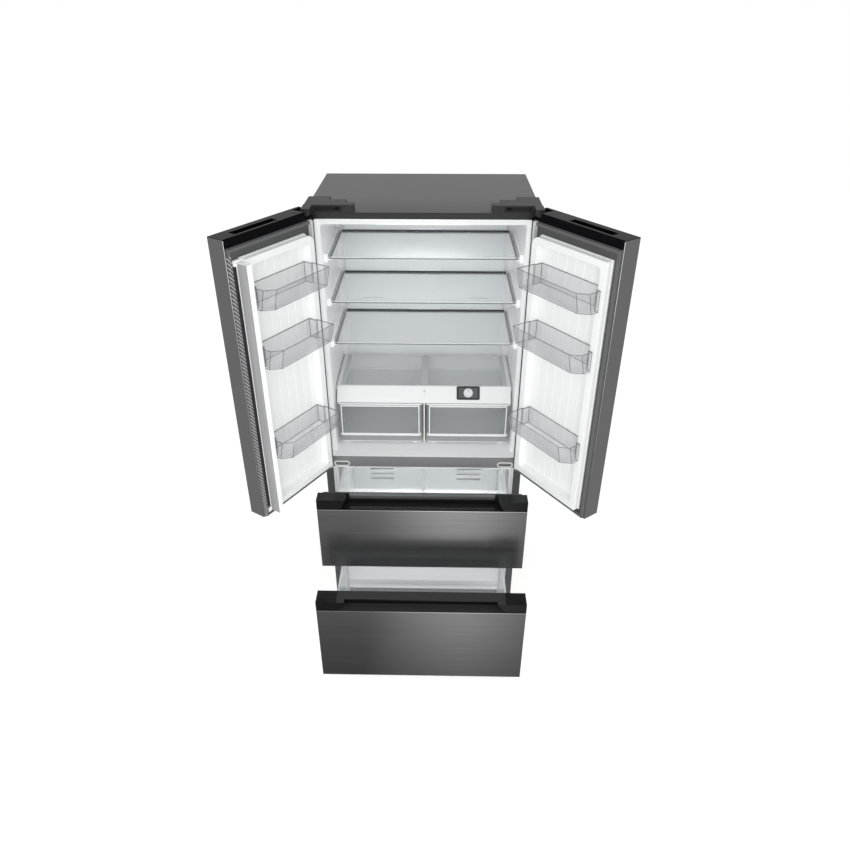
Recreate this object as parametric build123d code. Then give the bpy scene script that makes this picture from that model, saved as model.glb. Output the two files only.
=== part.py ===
from build123d import *
import math
import os

os.makedirs("parts", exist_ok=True)

# All sizes are millimetres. While modelling, x is 0 on the cabinet's centre plane, y is 0 on the
# cabinet's front flange and grows to the rear, and z is 0 on the floor.

# Cabinet
half_width = 416.5
cabinet_depth = 604.0
cabinet_bottom = 46.0
cabinet_top = 1858.0
sheet = 1.0
flange_width = 31.5
top_strip_height = 23.0
base_strip_height = 24.0
rear_return = 14.5
liner_wall = 2.0
divider_height = 52.0
divider_top = 832.0
divider_depth = 12.0

# Doors and drawers, in the closed position
panel_gap = 11.0
panel_thickness = 66.0
door_drop = 16.0
door_rise = 22.0
top_cap_height = 36.0
cap_plate = 2.0
bottom_cap_height = 12.0
door_gap = 2.0
notch_length = 45.0
notch_front_wall = 12.0
seal_width = 14.0
seal_gap = 0.3
left_open_angle = 122.0
right_open_angle = 125.5
drawer_split = 464.0
drawer_gap = 4.0
upper_cap_height = 47.0
lower_cap_height = 46.0
upper_pull = 201.0
lower_pull = 405.0

# Hinge pins and other turning fits
pin_inset = 12.0
pin_setback = 27.0
pin_radius = 5.0
small_pin_radius = 3.0
running_gap = 0.06

# Fridge space
throat_depth = 40.0
taper_depth = 18.0
throat_step = 11.0
ceiling_drop = 33.0
fridge_rear_wall = 144.0
mouth_radius = 8.0
rear_corner = 24.0

# Freezer space and machine compartment
freezer_step = 13.0
freezer_sill = 24.0
freezer_header = 21.0
freezer_rear_wall = 64.0
machine_depth = 214.0
machine_top = 250.0
machine_wall = 60.0

# Shelves and crispers
upper_shelf_drop = 135.0
middle_shelf_drop = 311.0
lower_shelf_drop = 486.0
shelf_side_gap = 17.0
shelf_thick = 5.0
shelf_rim = 7.0
shelf_lip = 2.0
shelf_rail = 8.0
duct_depth = 20.0
trim_depth = 8.0
crisper_height = 189.0
crisper_lift = 11.0
crisper_wall = 3.0
crisper_corner = 12.0
crisper_rim = 4.0
crisper_lip = 1.5
fascia_height = 57.0
fascia_lean = 44.0
dial_radius = 19.0
dial_x = 186.0

# Door bins
bin_depth = 78.0
bin_lean = 17.0
bin_height = 72.0
bin_wall = 2.5
bin_corner = 28.0
shelf_to_bin = 5.0
top_bin_drop = 170.0
middle_bin_drop = 382.0
bottom_bin_drop = 744.0
dike_width = 26.0
dike_height = 18.0
dike_corner = 32.0
dike_step = 3.0
dike_base = 5.0
base_corner = 22.0
panel_recess = 3.0
flute_width = 20.0
flute_pitch = 40.0

# Feet, rollers and slides
foot_x = 370.0
foot_y = 26.0
foot_radius = 22.0
roller_radius = 20.0
roller_setback = 44.0
roller_x = 345.0
rail_height = 36.0
lower_rail_height = 30.0
rail_thick = 4.4
member_thick = 5.0
slide_gap = 0.6

# Places that follow from the sizes above
flange_inner = half_width - flange_width
inside_half = half_width - sheet
top_strip_bottom = cabinet_top - top_strip_height
base_strip_top = cabinet_bottom + base_strip_height
divider_bottom = divider_top - divider_height
foam_bottom = cabinet_bottom + 2 * sheet
foam_rear = cabinet_depth - 2 * sheet
machine_front = cabinet_depth - machine_depth
panel_inner = -panel_gap
panel_front = panel_inner - panel_thickness
door_bottom = divider_top - door_drop
door_top = cabinet_top + door_rise
top_cap_low = door_top - top_cap_height
notch_floor = cabinet_top - sheet
pin_x = half_width - pin_inset
pin_y = panel_inner - pin_setback
throat_half = flange_inner - liner_wall
throat_top = top_strip_bottom - liner_wall
fridge_floor = divider_top + liner_wall
fridge_half = throat_half - throat_step
fridge_ceiling = throat_top - ceiling_drop
fridge_rear = cabinet_depth - fridge_rear_wall
freezer_mouth_low = base_strip_top + liner_wall
freezer_mouth_high = divider_bottom - liner_wall
freezer_half = throat_half - freezer_step
freezer_floor = freezer_mouth_low + freezer_sill
freezer_ceiling = freezer_mouth_high - freezer_header
freezer_rear = cabinet_depth - freezer_rear_wall
freezer_low_rear = machine_front - machine_wall
freezer_step_top = machine_top + machine_wall
middle_bar_low = drawer_split - 34
middle_bar_high = drawer_split + 20
shelf_front = bin_depth + bin_lean + shelf_to_bin
duct_front = fridge_rear - duct_depth
shelf_rear = duct_front - trim_depth
shelf_half = fridge_half - shelf_side_gap
crisper_low = fridge_floor + crisper_lift
crisper_top = crisper_low + crisper_height
cut = 1.0

# The stored frame has the front of the lower drawer and the rear of the cabinet at equal distances.
frame_shift = -(cabinet_depth - (lower_pull - panel_front)) / 2.0


def block(x, y, z):
    centre = Pos((x[0] + x[1]) / 2, (y[0] + y[1]) / 2, (z[0] + z[1]) / 2)
    return centre * Box(x[1] - x[0], y[1] - y[0], z[1] - z[0])


def wide(half, y, z):
    return block((-half, half), y, z)


def rounded_plan(x, y, z, radius):
    centre = Pos((x[0] + x[1]) / 2, (y[0] + y[1]) / 2, z[0])
    face = centre * RectangleRounded(x[1] - x[0], y[1] - y[0], radius)
    return extrude(face, z[1] - z[0], dir=(0, 0, 1))


def rounded_front(x, y, z, radius):
    face = Pos((x[0] + x[1]) / 2, (z[0] + z[1]) / 2) * RectangleRounded(x[1] - x[0], z[1] - z[0], radius)
    return extrude(Plane.XZ.offset(-y[0]) * face, y[1] - y[0], dir=(0, 1, 0))


def prism_x(points, x):
    face = Plane.YZ.offset(x[0]) * Polygon(*points, align=None)
    return extrude(face, x[1] - x[0], dir=(1, 0, 0))


def prism_y(points, y):
    face = Plane.XZ.offset(-y[0]) * Polygon(*points, align=None)
    return extrude(face, y[1] - y[0], dir=(0, 1, 0))


def prism_z(points, z):
    face = Plane.XY.offset(z[0]) * Polygon(*points, align=None)
    return extrude(face, z[1] - z[0], dir=(0, 0, 1))


def round_or_sided(radius, sides):
    return RegularPolygon(radius, sides) if sides else Circle(radius)


def rod_x(x, y, z, radius, sides=0):
    return Plane.YZ.offset(x[0]) * Pos(y, z, 0) * extrude(round_or_sided(radius, sides), x[1] - x[0])


def rod_y(x, y, z, radius, sides=0):
    return Plane.XZ.offset(-y[0]) * Pos(x, z, 0) * extrude(round_or_sided(radius, sides), -(y[1] - y[0]))


def rod_z(x, y, z, radius, sides=0):
    return Pos(x, y, z[0]) * extrude(round_or_sided(radius, sides), z[1] - z[0])


def both_sides(shape):
    return shape + mirror(shape, Plane.YZ)


def group(shapes):
    return Compound(children=[solid for shape in shapes for solid in shape.solids()])


def about_pin(x, angle):
    return Pos(x, pin_y, 0) * Rot(0, 0, angle) * Pos(-x, -pin_y, 0)


shift = Pos(0, frame_shift, 0)
poses = {
    "root": shift,
    "left_door": shift * about_pin(-pin_x, -left_open_angle),
    "right_door": shift * about_pin(pin_x, right_open_angle),
    "upper_drawer": shift * Pos(0, -upper_pull, 0),
    "lower_drawer": shift * Pos(0, -lower_pull, 0),
    "upper_middles": shift * Pos(0, -upper_pull / 2, 0),
    "lower_middles": shift * Pos(0, -lower_pull / 2, 0),
}


def save(name, shape, body="root"):
    solids = [poses[body] * solid for solid in shape.solids()]
    whole = solids[0] if len(solids) == 1 else Compound(children=solids)
    whole.label = name
    export_step(whole, "parts/" + name + ".step")


# Fridge space: a tapered throat behind the flange, then a straight space with cut rear corners
def throat_face(y, grow, narrow, drop):
    half = throat_half + grow - narrow
    low = fridge_floor - grow
    high = throat_top + grow - drop
    face = Pos(0, (low + high) / 2) * RectangleRounded(2 * half, high - low, mouth_radius)
    return Plane.XZ.offset(-y) * face


def fridge_space(grow, front):
    taper_end = throat_depth + taper_depth
    throat = extrude(throat_face(front, grow, 0, 0), throat_depth - front, dir=(0, 1, 0))
    wide_end = throat_face(throat_depth, grow, 0, 0)
    narrow_end = throat_face(taper_end, grow, throat_step, ceiling_drop)
    taper = loft([wide_end, narrow_end], ruled=True)
    rear = fridge_rear + grow
    main = extrude(narrow_end, rear - taper_end, dir=(0, 1, 0))
    half = fridge_half + grow
    corner = rear_corner + grow
    points = [(half - corner, rear), (half, rear - corner), (half + cut, rear - corner)]
    points += [(half + cut, rear + cut), (half - corner, rear + cut)]
    trim = prism_z(points, (fridge_floor - grow - cut, fridge_ceiling + grow + cut))
    return throat + taper + (main - both_sides(trim))


# Freezer space: one space for both drawers, with a step over the machine compartment
def freezer_space(grow, front):
    mouth_y = (front, 30 + grow)
    mouth = wide(throat_half + grow, mouth_y, (freezer_mouth_low - grow, freezer_mouth_high + grow))
    points = [(30, freezer_floor), (freezer_low_rear, freezer_floor), (freezer_low_rear, machine_top - 10)]
    points += [(machine_front + 10, freezer_step_top), (freezer_rear, freezer_step_top)]
    points += [(freezer_rear, freezer_ceiling), (30, freezer_ceiling)]
    outline = Polygon(*points, align=None)
    if grow > 0:
        outline = offset(outline, amount=grow, kind=Kind.INTERSECTION)
    half = freezer_half + grow
    main = extrude(Plane.YZ.offset(-half) * outline, 2 * half, dir=(1, 0, 0))
    return mouth + main


# Cabinet shell: wrapped sheet with front flange, top strip, base strip and rear returns
shell = wide(half_width, (0, cabinet_depth), (cabinet_bottom, cabinet_top))
shell -= wide(inside_half, (sheet, cabinet_depth - sheet), (cabinet_bottom - cut, cabinet_top - sheet))
shell -= wide(flange_inner, (-cut, 2 * sheet), (base_strip_top, top_strip_bottom))
rear_opening = half_width - rear_return
opening_z = (cabinet_bottom - cut, cabinet_top - rear_return)
shell -= wide(rear_opening, (foam_rear, cabinet_depth + cut), opening_z)
save("cabinet_shell", shell)

# Rear panel inside the rear returns, above the machine compartment, with upright ribs
panel_low = machine_top
back = wide(inside_half, (foam_rear, foam_rear + sheet), (panel_low, cabinet_top - sheet))
rib_y = (foam_rear + sheet, cabinet_depth)
for rib in range(-3, 4):
    rib_x = rib * rear_opening / 4
    back += block((rib_x - 10, rib_x + 10), rib_y, (panel_low + 70, cabinet_top - 98))
save("back_panel", back)

# Foam between the shell and the liners, cut away for the machine compartment and the divider bars
foam = wide(inside_half, (sheet, foam_rear), (foam_bottom, cabinet_top - sheet))
foam -= fridge_space(liner_wall, 0)
foam -= freezer_space(liner_wall, 0)
foam -= wide(half_width, (machine_front, foam_rear + cut), (foam_bottom - cut, machine_top))
foam -= wide(flange_inner, (0, divider_depth), (divider_bottom, divider_top))
middle_bar_depth = divider_depth + 6
foam -= wide(flange_inner, (0, middle_bar_depth), (middle_bar_low, middle_bar_high))
save("insulation", foam)

# Fridge liner with shelf ledges on both walls and runner ribs on the floor
fridge_liner = fridge_space(liner_wall, sheet) - fridge_space(0, 0)
shelf_tops = {
    "upper": fridge_ceiling - upper_shelf_drop,
    "middle": fridge_ceiling - middle_shelf_drop,
    "lower": fridge_ceiling - lower_shelf_drop,
}
ledge_rear = duct_front - 6
for top in shelf_tops.values():
    seat = top - shelf_thick
    ledge = block((shelf_half - 9, fridge_half + cut), (shelf_front + 6, ledge_rear), (seat - 9, seat))
    ledge += block((shelf_half + 3, fridge_half + cut), (shelf_front - 4, ledge_rear), (seat - 14, top + 12))
    fridge_liner += both_sides(ledge)
runner_gap = 0.4
left_crisper_x = (7 - fridge_half, -5)
right_crisper_x = (8, fridge_half - 6)
for low_x, high_x in (left_crisper_x, right_crisper_x):
    for middle in (low_x + 34, high_x - 34):
        rib_y = (shelf_front + 12, duct_front - 4)
        fridge_liner += block((middle - 7, middle + 7), rib_y, (fridge_floor - cut, crisper_low - runner_gap))
fascia_low = crisper_top + 6
cover_top = fascia_low + fascia_height
glass_thick = 4
cover_seat = cover_top - glass_thick - 10
cover_rear = duct_front - 2
rail_inner = fridge_half - 37
cover_ledge_x = (fridge_half - 20, fridge_half + cut)
cover_ledge = block(cover_ledge_x, (shelf_front + 50, cover_rear - 2), (cover_seat - 9, cover_seat))
fridge_liner += both_sides(cover_ledge)
save("fridge_liner", fridge_liner)

# Freezer liner
freezer_liner = freezer_space(liner_wall, sheet) - freezer_space(0, 0)
freezer_liner -= wide(flange_inner + cut, (0, middle_bar_depth + cut), (middle_bar_low, middle_bar_high))
save("freezer_liner", freezer_liner)

# Divider bars across the front, the upper one with a long round-ended stepped recess at each end
recess_length = 67
recess_height = 26
recess_rim = 5
recess_place = Pos(flange_inner - 5 - recess_length / 2, divider_bottom + 2 + recess_height / 2)
upper_bar = wide(flange_inner, (0, divider_depth), (divider_bottom, divider_top))
for inset, depth in ((0, 0.8), (recess_rim, 8)):
    slot = recess_place * SlotOverall(recess_length - 2 * inset, recess_height - 2 * inset)
    upper_bar -= both_sides(extrude(Plane.XZ.offset(cut) * slot, depth + cut, dir=(0, 1, 0)))
middle_bar = wide(flange_inner, (0, middle_bar_depth), (middle_bar_low, middle_bar_high))
save("divider_bars", group([upper_bar, middle_bar]))

# Upper hinge brackets on the cabinet top, with the pin that enters each door
bracket_thick = 3.5
arm_half = 12
arm_edge = half_width - 0.5
arm_points = [(arm_edge - 71, 88), (arm_edge - 71, 20), (arm_edge - 24, 5), (arm_edge - 24, pin_y - 14)]
arm_points += [(arm_edge, pin_y - 14), (arm_edge, -1.5), (arm_edge - 6, -1.5), (arm_edge - 6, 88)]
bracket = prism_z(arm_points, (cabinet_top, cabinet_top + bracket_thick))
bracket += rod_z(pin_x, pin_y, (top_cap_low + 2, cabinet_top + cut), pin_radius)
save("upper_hinges", both_sides(bracket))

# Covers over the upper hinges, stepped in plan, with a nose over the pin
cover_high = door_top + 4
cover_wall = 3
cover_edge = half_width - 2.5
nose_edge = half_width - 0.5
nose_low = cabinet_top + bracket_thick + 1
nose_front = pin_y - 17
nose_half = 31


def stepped_plan(inset):
    near = cover_edge - 174 + inset
    step_one = cover_edge - 142 + inset
    step_two = cover_edge - 79 + inset
    far = cover_edge - inset
    points = [(near, inset), (far, inset), (far, 118 - inset), (step_two, 118 - inset)]
    points += [(step_two, 76 - inset), (step_one, 76 - inset), (step_one, 37 - inset)]
    return points + [(near, 37 - inset)]


hinge_cover = prism_z(stepped_plan(0), (cabinet_top, cover_high))
hinge_cover += block((nose_edge - nose_half, nose_edge), (nose_front, 6), (nose_low, cover_high))
roof = cover_high - cover_wall
hinge_cover -= prism_z(stepped_plan(cover_wall), (cabinet_top - cut, roof))
nose_inside_x = (nose_edge - nose_half + cover_wall, nose_edge - cover_wall)
hinge_cover -= block(nose_inside_x, (nose_front + cover_wall, cover_wall + cut), (nose_low - cut, roof))
slot_x = (nose_edge - nose_half + cut, half_width + cut)
hinge_cover -= block(slot_x, (-cut, cover_wall + cut), (cabinet_top - cut, nose_low))
window_x = (cover_edge - 134, cover_edge - 94)
hinge_cover -= block(window_x, (-cut, 1.2), (cabinet_top + 6, cover_high - 8))
save("hinge_covers", both_sides(hinge_cover))

# Lower hinge brackets on the flange, each with an upright pin
leg_top = door_bottom - 1.5
leg_low = leg_top - bracket_thick
low_bracket = block((pin_x - 1, arm_edge), (-3, 0), (divider_bottom + 4, leg_top))
low_bracket += block((pin_x - arm_half - 2.5, arm_edge), (pin_y - arm_half, 0), (leg_low, leg_top))
low_bracket += rod_z(pin_x, pin_y, (leg_top - cut, door_bottom + bottom_cap_height - 2), pin_radius)
save("lower_hinges", both_sides(low_bracket))

# Shelves: a clear plate with a front rim and low side rails
for name, top in shelf_tops.items():
    shelf = wide(shelf_half, (shelf_front, shelf_rear), (top - shelf_thick, top))
    shelf += wide(shelf_half, (shelf_front, shelf_front + 4), (top - shelf_rim, top + shelf_lip))
    side_rail = block((shelf_half - shelf_rail, shelf_half), (shelf_front, shelf_rear), (top - 1, top + 4))
    save(name + "_shelf", shelf + both_sides(side_rail))

# Rear trims of the shelves
trims = []
for top in shelf_tops.values():
    trims.append(wide(shelf_half - 10, (shelf_rear, duct_front), (top - shelf_rim, top + 4)))
save("shelf_trims", group(trims))

# Cover over the two crispers: sloped front, side rails and a centre web
fascia_front = shelf_front - 4
fascia_back = fascia_front + fascia_lean
fascia_points = [(fascia_front, fascia_low), (fascia_back, cover_top), (fascia_back + 7, cover_top)]
fascia_points += [(fascia_back + 7, cover_top - 8), (fascia_front + 10, fascia_low - 4)]
fascia = prism_x(fascia_points, (8 - fridge_half, fridge_half - 8))
rail_y = (fascia_back + 7, cover_rear)
glass_half = fridge_half - 22
glass_seat = cover_top - glass_thick - 1
rails = block((rail_inner, fridge_half - 6), rail_y, (cover_seat, glass_seat))
rails += block((glass_half + 0.5, fridge_half - 6), rail_y, (glass_seat, cover_top))
web_x = (left_crisper_x[1] + 4, right_crisper_x[0] - 4)
web = block(web_x, (shelf_front + 12, cover_rear), (fridge_floor, cover_seat))
web += block((web_x[0] - 13, web_x[1] + 13), (fascia_back, cover_rear), (cover_seat, glass_seat))
front_rail = wide(fridge_half - 6, (rail_y[0], rail_y[0] + 9), (cover_seat, glass_seat))
cover_frame = fascia + both_sides(rails) + web + front_rail
dial_share = 0.61
dial_y = fascia_front + fascia_lean * dial_share
dial_z = fascia_low + fascia_height * dial_share
dial_shaft = 4
slope = Plane(origin=(dial_x, dial_y, dial_z), x_dir=(1, 0, 0), z_dir=(0, -fascia_height, fascia_lean))
shaft_bore = slope * Pos(0, 0, -20) * extrude(Circle(dial_shaft + running_gap), 40)
cover_frame -= shaft_bore
save("crisper_cover", cover_frame)
save("crisper_glass", wide(glass_half, rail_y, (glass_seat, glass_seat + glass_thick)))

# Control plate on the sloped front, and the dial that turns in it
plate_thick = 2.5
plate = slope * extrude(RectangleRounded(97, 58, 6), plate_thick) - shaft_bore
save("control_plate", plate)
dial_base = plate_thick + 0.4
dial_sides = 24
dial = slope * Pos(0, 0, dial_base) * extrude(RegularPolygon(dial_radius, dial_sides), 3)
dial += slope * Pos(0, 0, dial_base) * extrude(RegularPolygon(dial_radius - 3, dial_sides), 11)
dial += slope * Pos(0, 0, dial_base + 10) * extrude(Rectangle(5, 2 * dial_radius - 8), 3.5)
dial += slope * Pos(0, 0, -9) * extrude(Circle(dial_shaft), dial_base + 11)
save("control_dial", dial)

# Air duct panel at the rear of the fridge space, with a centre column and outlet slots
duct_low = cover_top + 7
duct_high = fridge_ceiling - 8
duct = wide(fridge_half - rear_corner - 10, (duct_front, fridge_rear), (duct_low, duct_high))
duct += wide(70, (duct_front - 6, duct_front + cut), (duct_low + 16, duct_high - 12))
for top in shelf_tops.values():
    duct -= wide(80, (duct_front - 7, duct_front + cut), (top - shelf_rim - 2, top + 6))
    for slot_x in (142 - fridge_half, fridge_half - 142):
        duct -= block((slot_x - 40, slot_x + 40), (duct_front - cut, duct_front + 8), (top + 55, top + 65))
save("rear_duct", duct)

# Lamp bar on the ceiling
lamp_front = throat_depth + taper_depth + 12
lamp_width = 42
lamp_length = 340
lamp_y = (lamp_front, lamp_front + lamp_width)
save("ceiling_lamp", wide(lamp_length / 2, lamp_y, (fridge_ceiling - 5, fridge_ceiling)))

# Freezer duct panel with a fan opening, three arms and a bearing
fan_z = freezer_ceiling - 67
fan_opening = 58
freezer_duct_y = (freezer_rear - 75, freezer_rear - 66)
freezer_duct = wide(freezer_half - 4, freezer_duct_y, (freezer_step_top, freezer_ceiling))
cut_y = (freezer_duct_y[0] - cut, freezer_duct_y[1] + cut)
freezer_duct -= rod_y(0, cut_y, fan_z, fan_opening, 36)
arms = rod_y(0, freezer_duct_y, fan_z, 13, 20)
for turn in (90, 210, 330):
    arm = block((0, fan_opening + 4), freezer_duct_y, (-5, 5))
    arms += Pos(0, 0, fan_z) * Rot(0, turn, 0) * arm
arms -= rod_y(0, cut_y, fan_z, small_pin_radius + running_gap)
freezer_duct += arms
for slot_x in (150 - freezer_half, freezer_half - 150):
    for row in range(3):
        slot_z = freezer_step_top + 70 + 30 * row
        freezer_duct -= block((slot_x - 60, slot_x + 60), cut_y, (slot_z - 5, slot_z + 5))
save("freezer_duct", freezer_duct)

# Evaporator: a finned block on the rear wall
evaporator_y = (freezer_rear - 45, freezer_rear)
evaporator_low = freezer_step_top + 40
fin_pitch = 18
fin_count = 14
evaporator_z = (evaporator_low, evaporator_low + fin_count * fin_pitch + 8)
evaporator_half = freezer_half - 80
evaporator = wide(evaporator_half, evaporator_y, evaporator_z)
for fin in range(fin_count):
    low = evaporator_low + 10 + fin * fin_pitch
    groove_y = (evaporator_y[0] - cut, evaporator_y[1] - 10)
    evaporator -= wide(evaporator_half - 6, groove_y, (low, low + fin_pitch - 8))
save("evaporator", evaporator)

# Fan behind the freezer duct
hub_y = (freezer_duct_y[1] + 4, freezer_duct_y[1] + 22)
blade_y = (hub_y[0] + hub_y[1]) / 2
fan = rod_y(0, hub_y, fan_z, 16, 20)
fan += rod_y(0, (freezer_duct_y[0] + 1, hub_y[0] + 2), fan_z, small_pin_radius)
for blade in range(5):
    turned = Pos(0, blade_y, fan_z) * Rot(0, blade * 72, 0)
    fan += turned * Pos(33, 0, 0) * Rot(25, 0, 0) * Box(fan_opening - 16, 2.5, 26)
save("evaporator_fan", fan)

# Base pan under the machine compartment, with ears for the roller axle
roller_y = cabinet_depth - roller_setback
axle_radius = 5
ear_gap = 4
roller_half = 11
pan_top = cabinet_bottom + 2 * sheet
pan = wide(inside_half, (machine_front - 6, foam_rear), (cabinet_bottom, pan_top))
for ear in (-1, 1):
    ear_x = roller_x + ear * (roller_half + ear_gap + 2)
    ear_z = (roller_radius - 10, cabinet_bottom + cut)
    pan += both_sides(block((ear_x - 2, ear_x + 2), (roller_y - 14, roller_y + 14), ear_z))
pan -= rod_x((-half_width, half_width), roller_y, roller_radius, axle_radius + running_gap)
save("base_pan", pan)
rollers = rod_x((-roller_x - 23, roller_x + 23), roller_y, roller_radius, axle_radius)
wheel_x = (roller_x - roller_half, roller_x + roller_half)
roller_sides = 32
rollers += both_sides(rod_x(wheel_x, roller_y, roller_radius, roller_radius, roller_sides))
save("rear_rollers", rollers)

# Compressor: a round can with a stepped lid on a foot plate and four pads
can_radius = 70
can_height = 108
can_x = can_radius + 155 - inside_half
can_y = machine_front + can_radius + 30
foot_plate = 8
can_sides = 32
can_top = pan_top + can_height
compressor = rod_z(can_x, can_y, (pan_top + foot_plate, can_top), can_radius, can_sides)
compressor += rod_z(can_x, can_y, (can_top - cut, can_top + 16), can_radius - 14, can_sides)
compressor += rod_z(can_x, can_y, (can_top, can_top + 28), can_radius - 36, can_sides)
plate_half = (can_radius + 15, can_radius)
plate_x = (can_x - plate_half[0], can_x + plate_half[0])
plate_y = (can_y - plate_half[1], can_y + plate_half[1])
compressor += block(plate_x, plate_y, (pan_top + foot_plate, pan_top + foot_plate + 5))
for pad_x in (plate_x[0] + 13, plate_x[1] - 13):
    for pad_y in (plate_y[0] + 14, plate_y[1] - 14):
        pad = block((pad_x - 11, pad_x + 11), (pad_y - 11, pad_y + 11), (pan_top, pan_top + foot_plate + cut))
        compressor += pad
save("compressor", compressor)

# Condenser: upright fins between two end plates, joined by flat headers
condenser_depth = 130
condenser_height = 152
condenser_front = machine_front + 40
condenser_x = (60, inside_half - 115.5)
condenser_top = pan_top + condenser_height
end_plate = 4
end_plates = (condenser_front, condenser_front + condenser_depth - end_plate)
condenser_fins = 12
condenser_fin = 2
condenser = Part()
for plate_low in end_plates:
    condenser += block(condenser_x, (plate_low, plate_low + end_plate), (pan_top, condenser_top))
fin_spacing = (condenser_x[1] - condenser_x[0] - condenser_fin) / (condenser_fins - 1)
for fin in range(condenser_fins):
    low = condenser_x[0] + fin * fin_spacing
    fin_y = (end_plates[0] + cut, end_plates[1] + cut)
    condenser += block((low, low + condenser_fin), fin_y, (pan_top + 8, condenser_top - 4))
header_y = (condenser_front + 62, condenser_front + 68)
for header_z in (pan_top + 44, pan_top + 104):
    condenser += block(condenser_x, header_y, (header_z, header_z + 6))
save("condenser", condenser)

# Drip tray on top of the condenser
tray_x = (condenser_x[0] - 10, condenser_x[1] + 10)
tray_y = (condenser_front - 6, condenser_front + condenser_depth + 6)
tray = block(tray_x, tray_y, (condenser_top, condenser_top + 32))
tray_inside_z = (condenser_top + 3, condenser_top + 33)
tray -= block((tray_x[0] + 3, tray_x[1] - 3), (tray_y[0] + 3, tray_y[1] - 3), tray_inside_z)
save("drip_tray", tray)

# Rear cover of the machine compartment with louvre slots
rear_cover = wide(inside_half, (foam_rear, foam_rear + sheet), (pan_top, machine_top))
louvre_count = 9
louvre_pitch = (machine_top - pan_top - 40) / louvre_count
for louvre in range(louvre_count):
    low = pan_top + 30 + louvre * louvre_pitch
    slot = block((60, half_width - 76), (foam_rear - cut, cabinet_depth), (low, low + 7))
    rear_cover -= both_sides(slot)
save("rear_cover", rear_cover)

# Front levelling feet
plate_x = (foot_x - 30, foot_x + 30)
foot = block(plate_x, (sheet, 2 * foot_y), (cabinet_bottom, foam_bottom))
foot += rod_z(foot_x, foot_y, (10, cabinet_bottom + cut), 7, 16) + rod_z(foot_x, foot_y, (0, 12), foot_radius)
save("front_feet", both_sides(foot))

# Drawer slides: fixed rails on the liner, middle members and moving runners
upper_low = drawer_split + drawer_gap / 2
lower_low = cabinet_bottom - 6
upper_cap_top = door_bottom - 6
lower_cap_top = drawer_split - drawer_gap / 2
rail_front = 34
upper_rail_low = upper_low + 92
lower_rail_low = machine_top + 12
rail_sets = {
    "upper": ((upper_rail_low, upper_rail_low + rail_height), (rail_front, freezer_duct_y[0] - 9)),
    "lower": ((lower_rail_low, lower_rail_low + lower_rail_height), (rail_front, freezer_low_rear + 16)),
}
rail_x = (freezer_half - rail_thick, freezer_half)
member_x = (rail_x[0] - slide_gap - member_thick, rail_x[0] - slide_gap)
runner_x = (member_x[0] - slide_gap - member_thick, member_x[0] - slide_gap)


def slide_bar(x, y, z):
    groove = block((x[0] - cut, x[0] + 2), (y[0] - cut, y[1] + cut), (z[0] + 9, z[1] - 9))
    return block(x, y, z) - groove


fixed = []
for rail_z, rail_reach in rail_sets.values():
    fixed.append(both_sides(slide_bar(rail_x, rail_reach, rail_z)))
save("fixed_rails", group(fixed))
for name, (rail_z, rail_reach) in rail_sets.items():
    middle = slide_bar(member_x, rail_reach, (rail_z[0] + 2, rail_z[1] - 2))
    save(name + "_slide_middles", both_sides(middle), name + "_middles")

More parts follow.
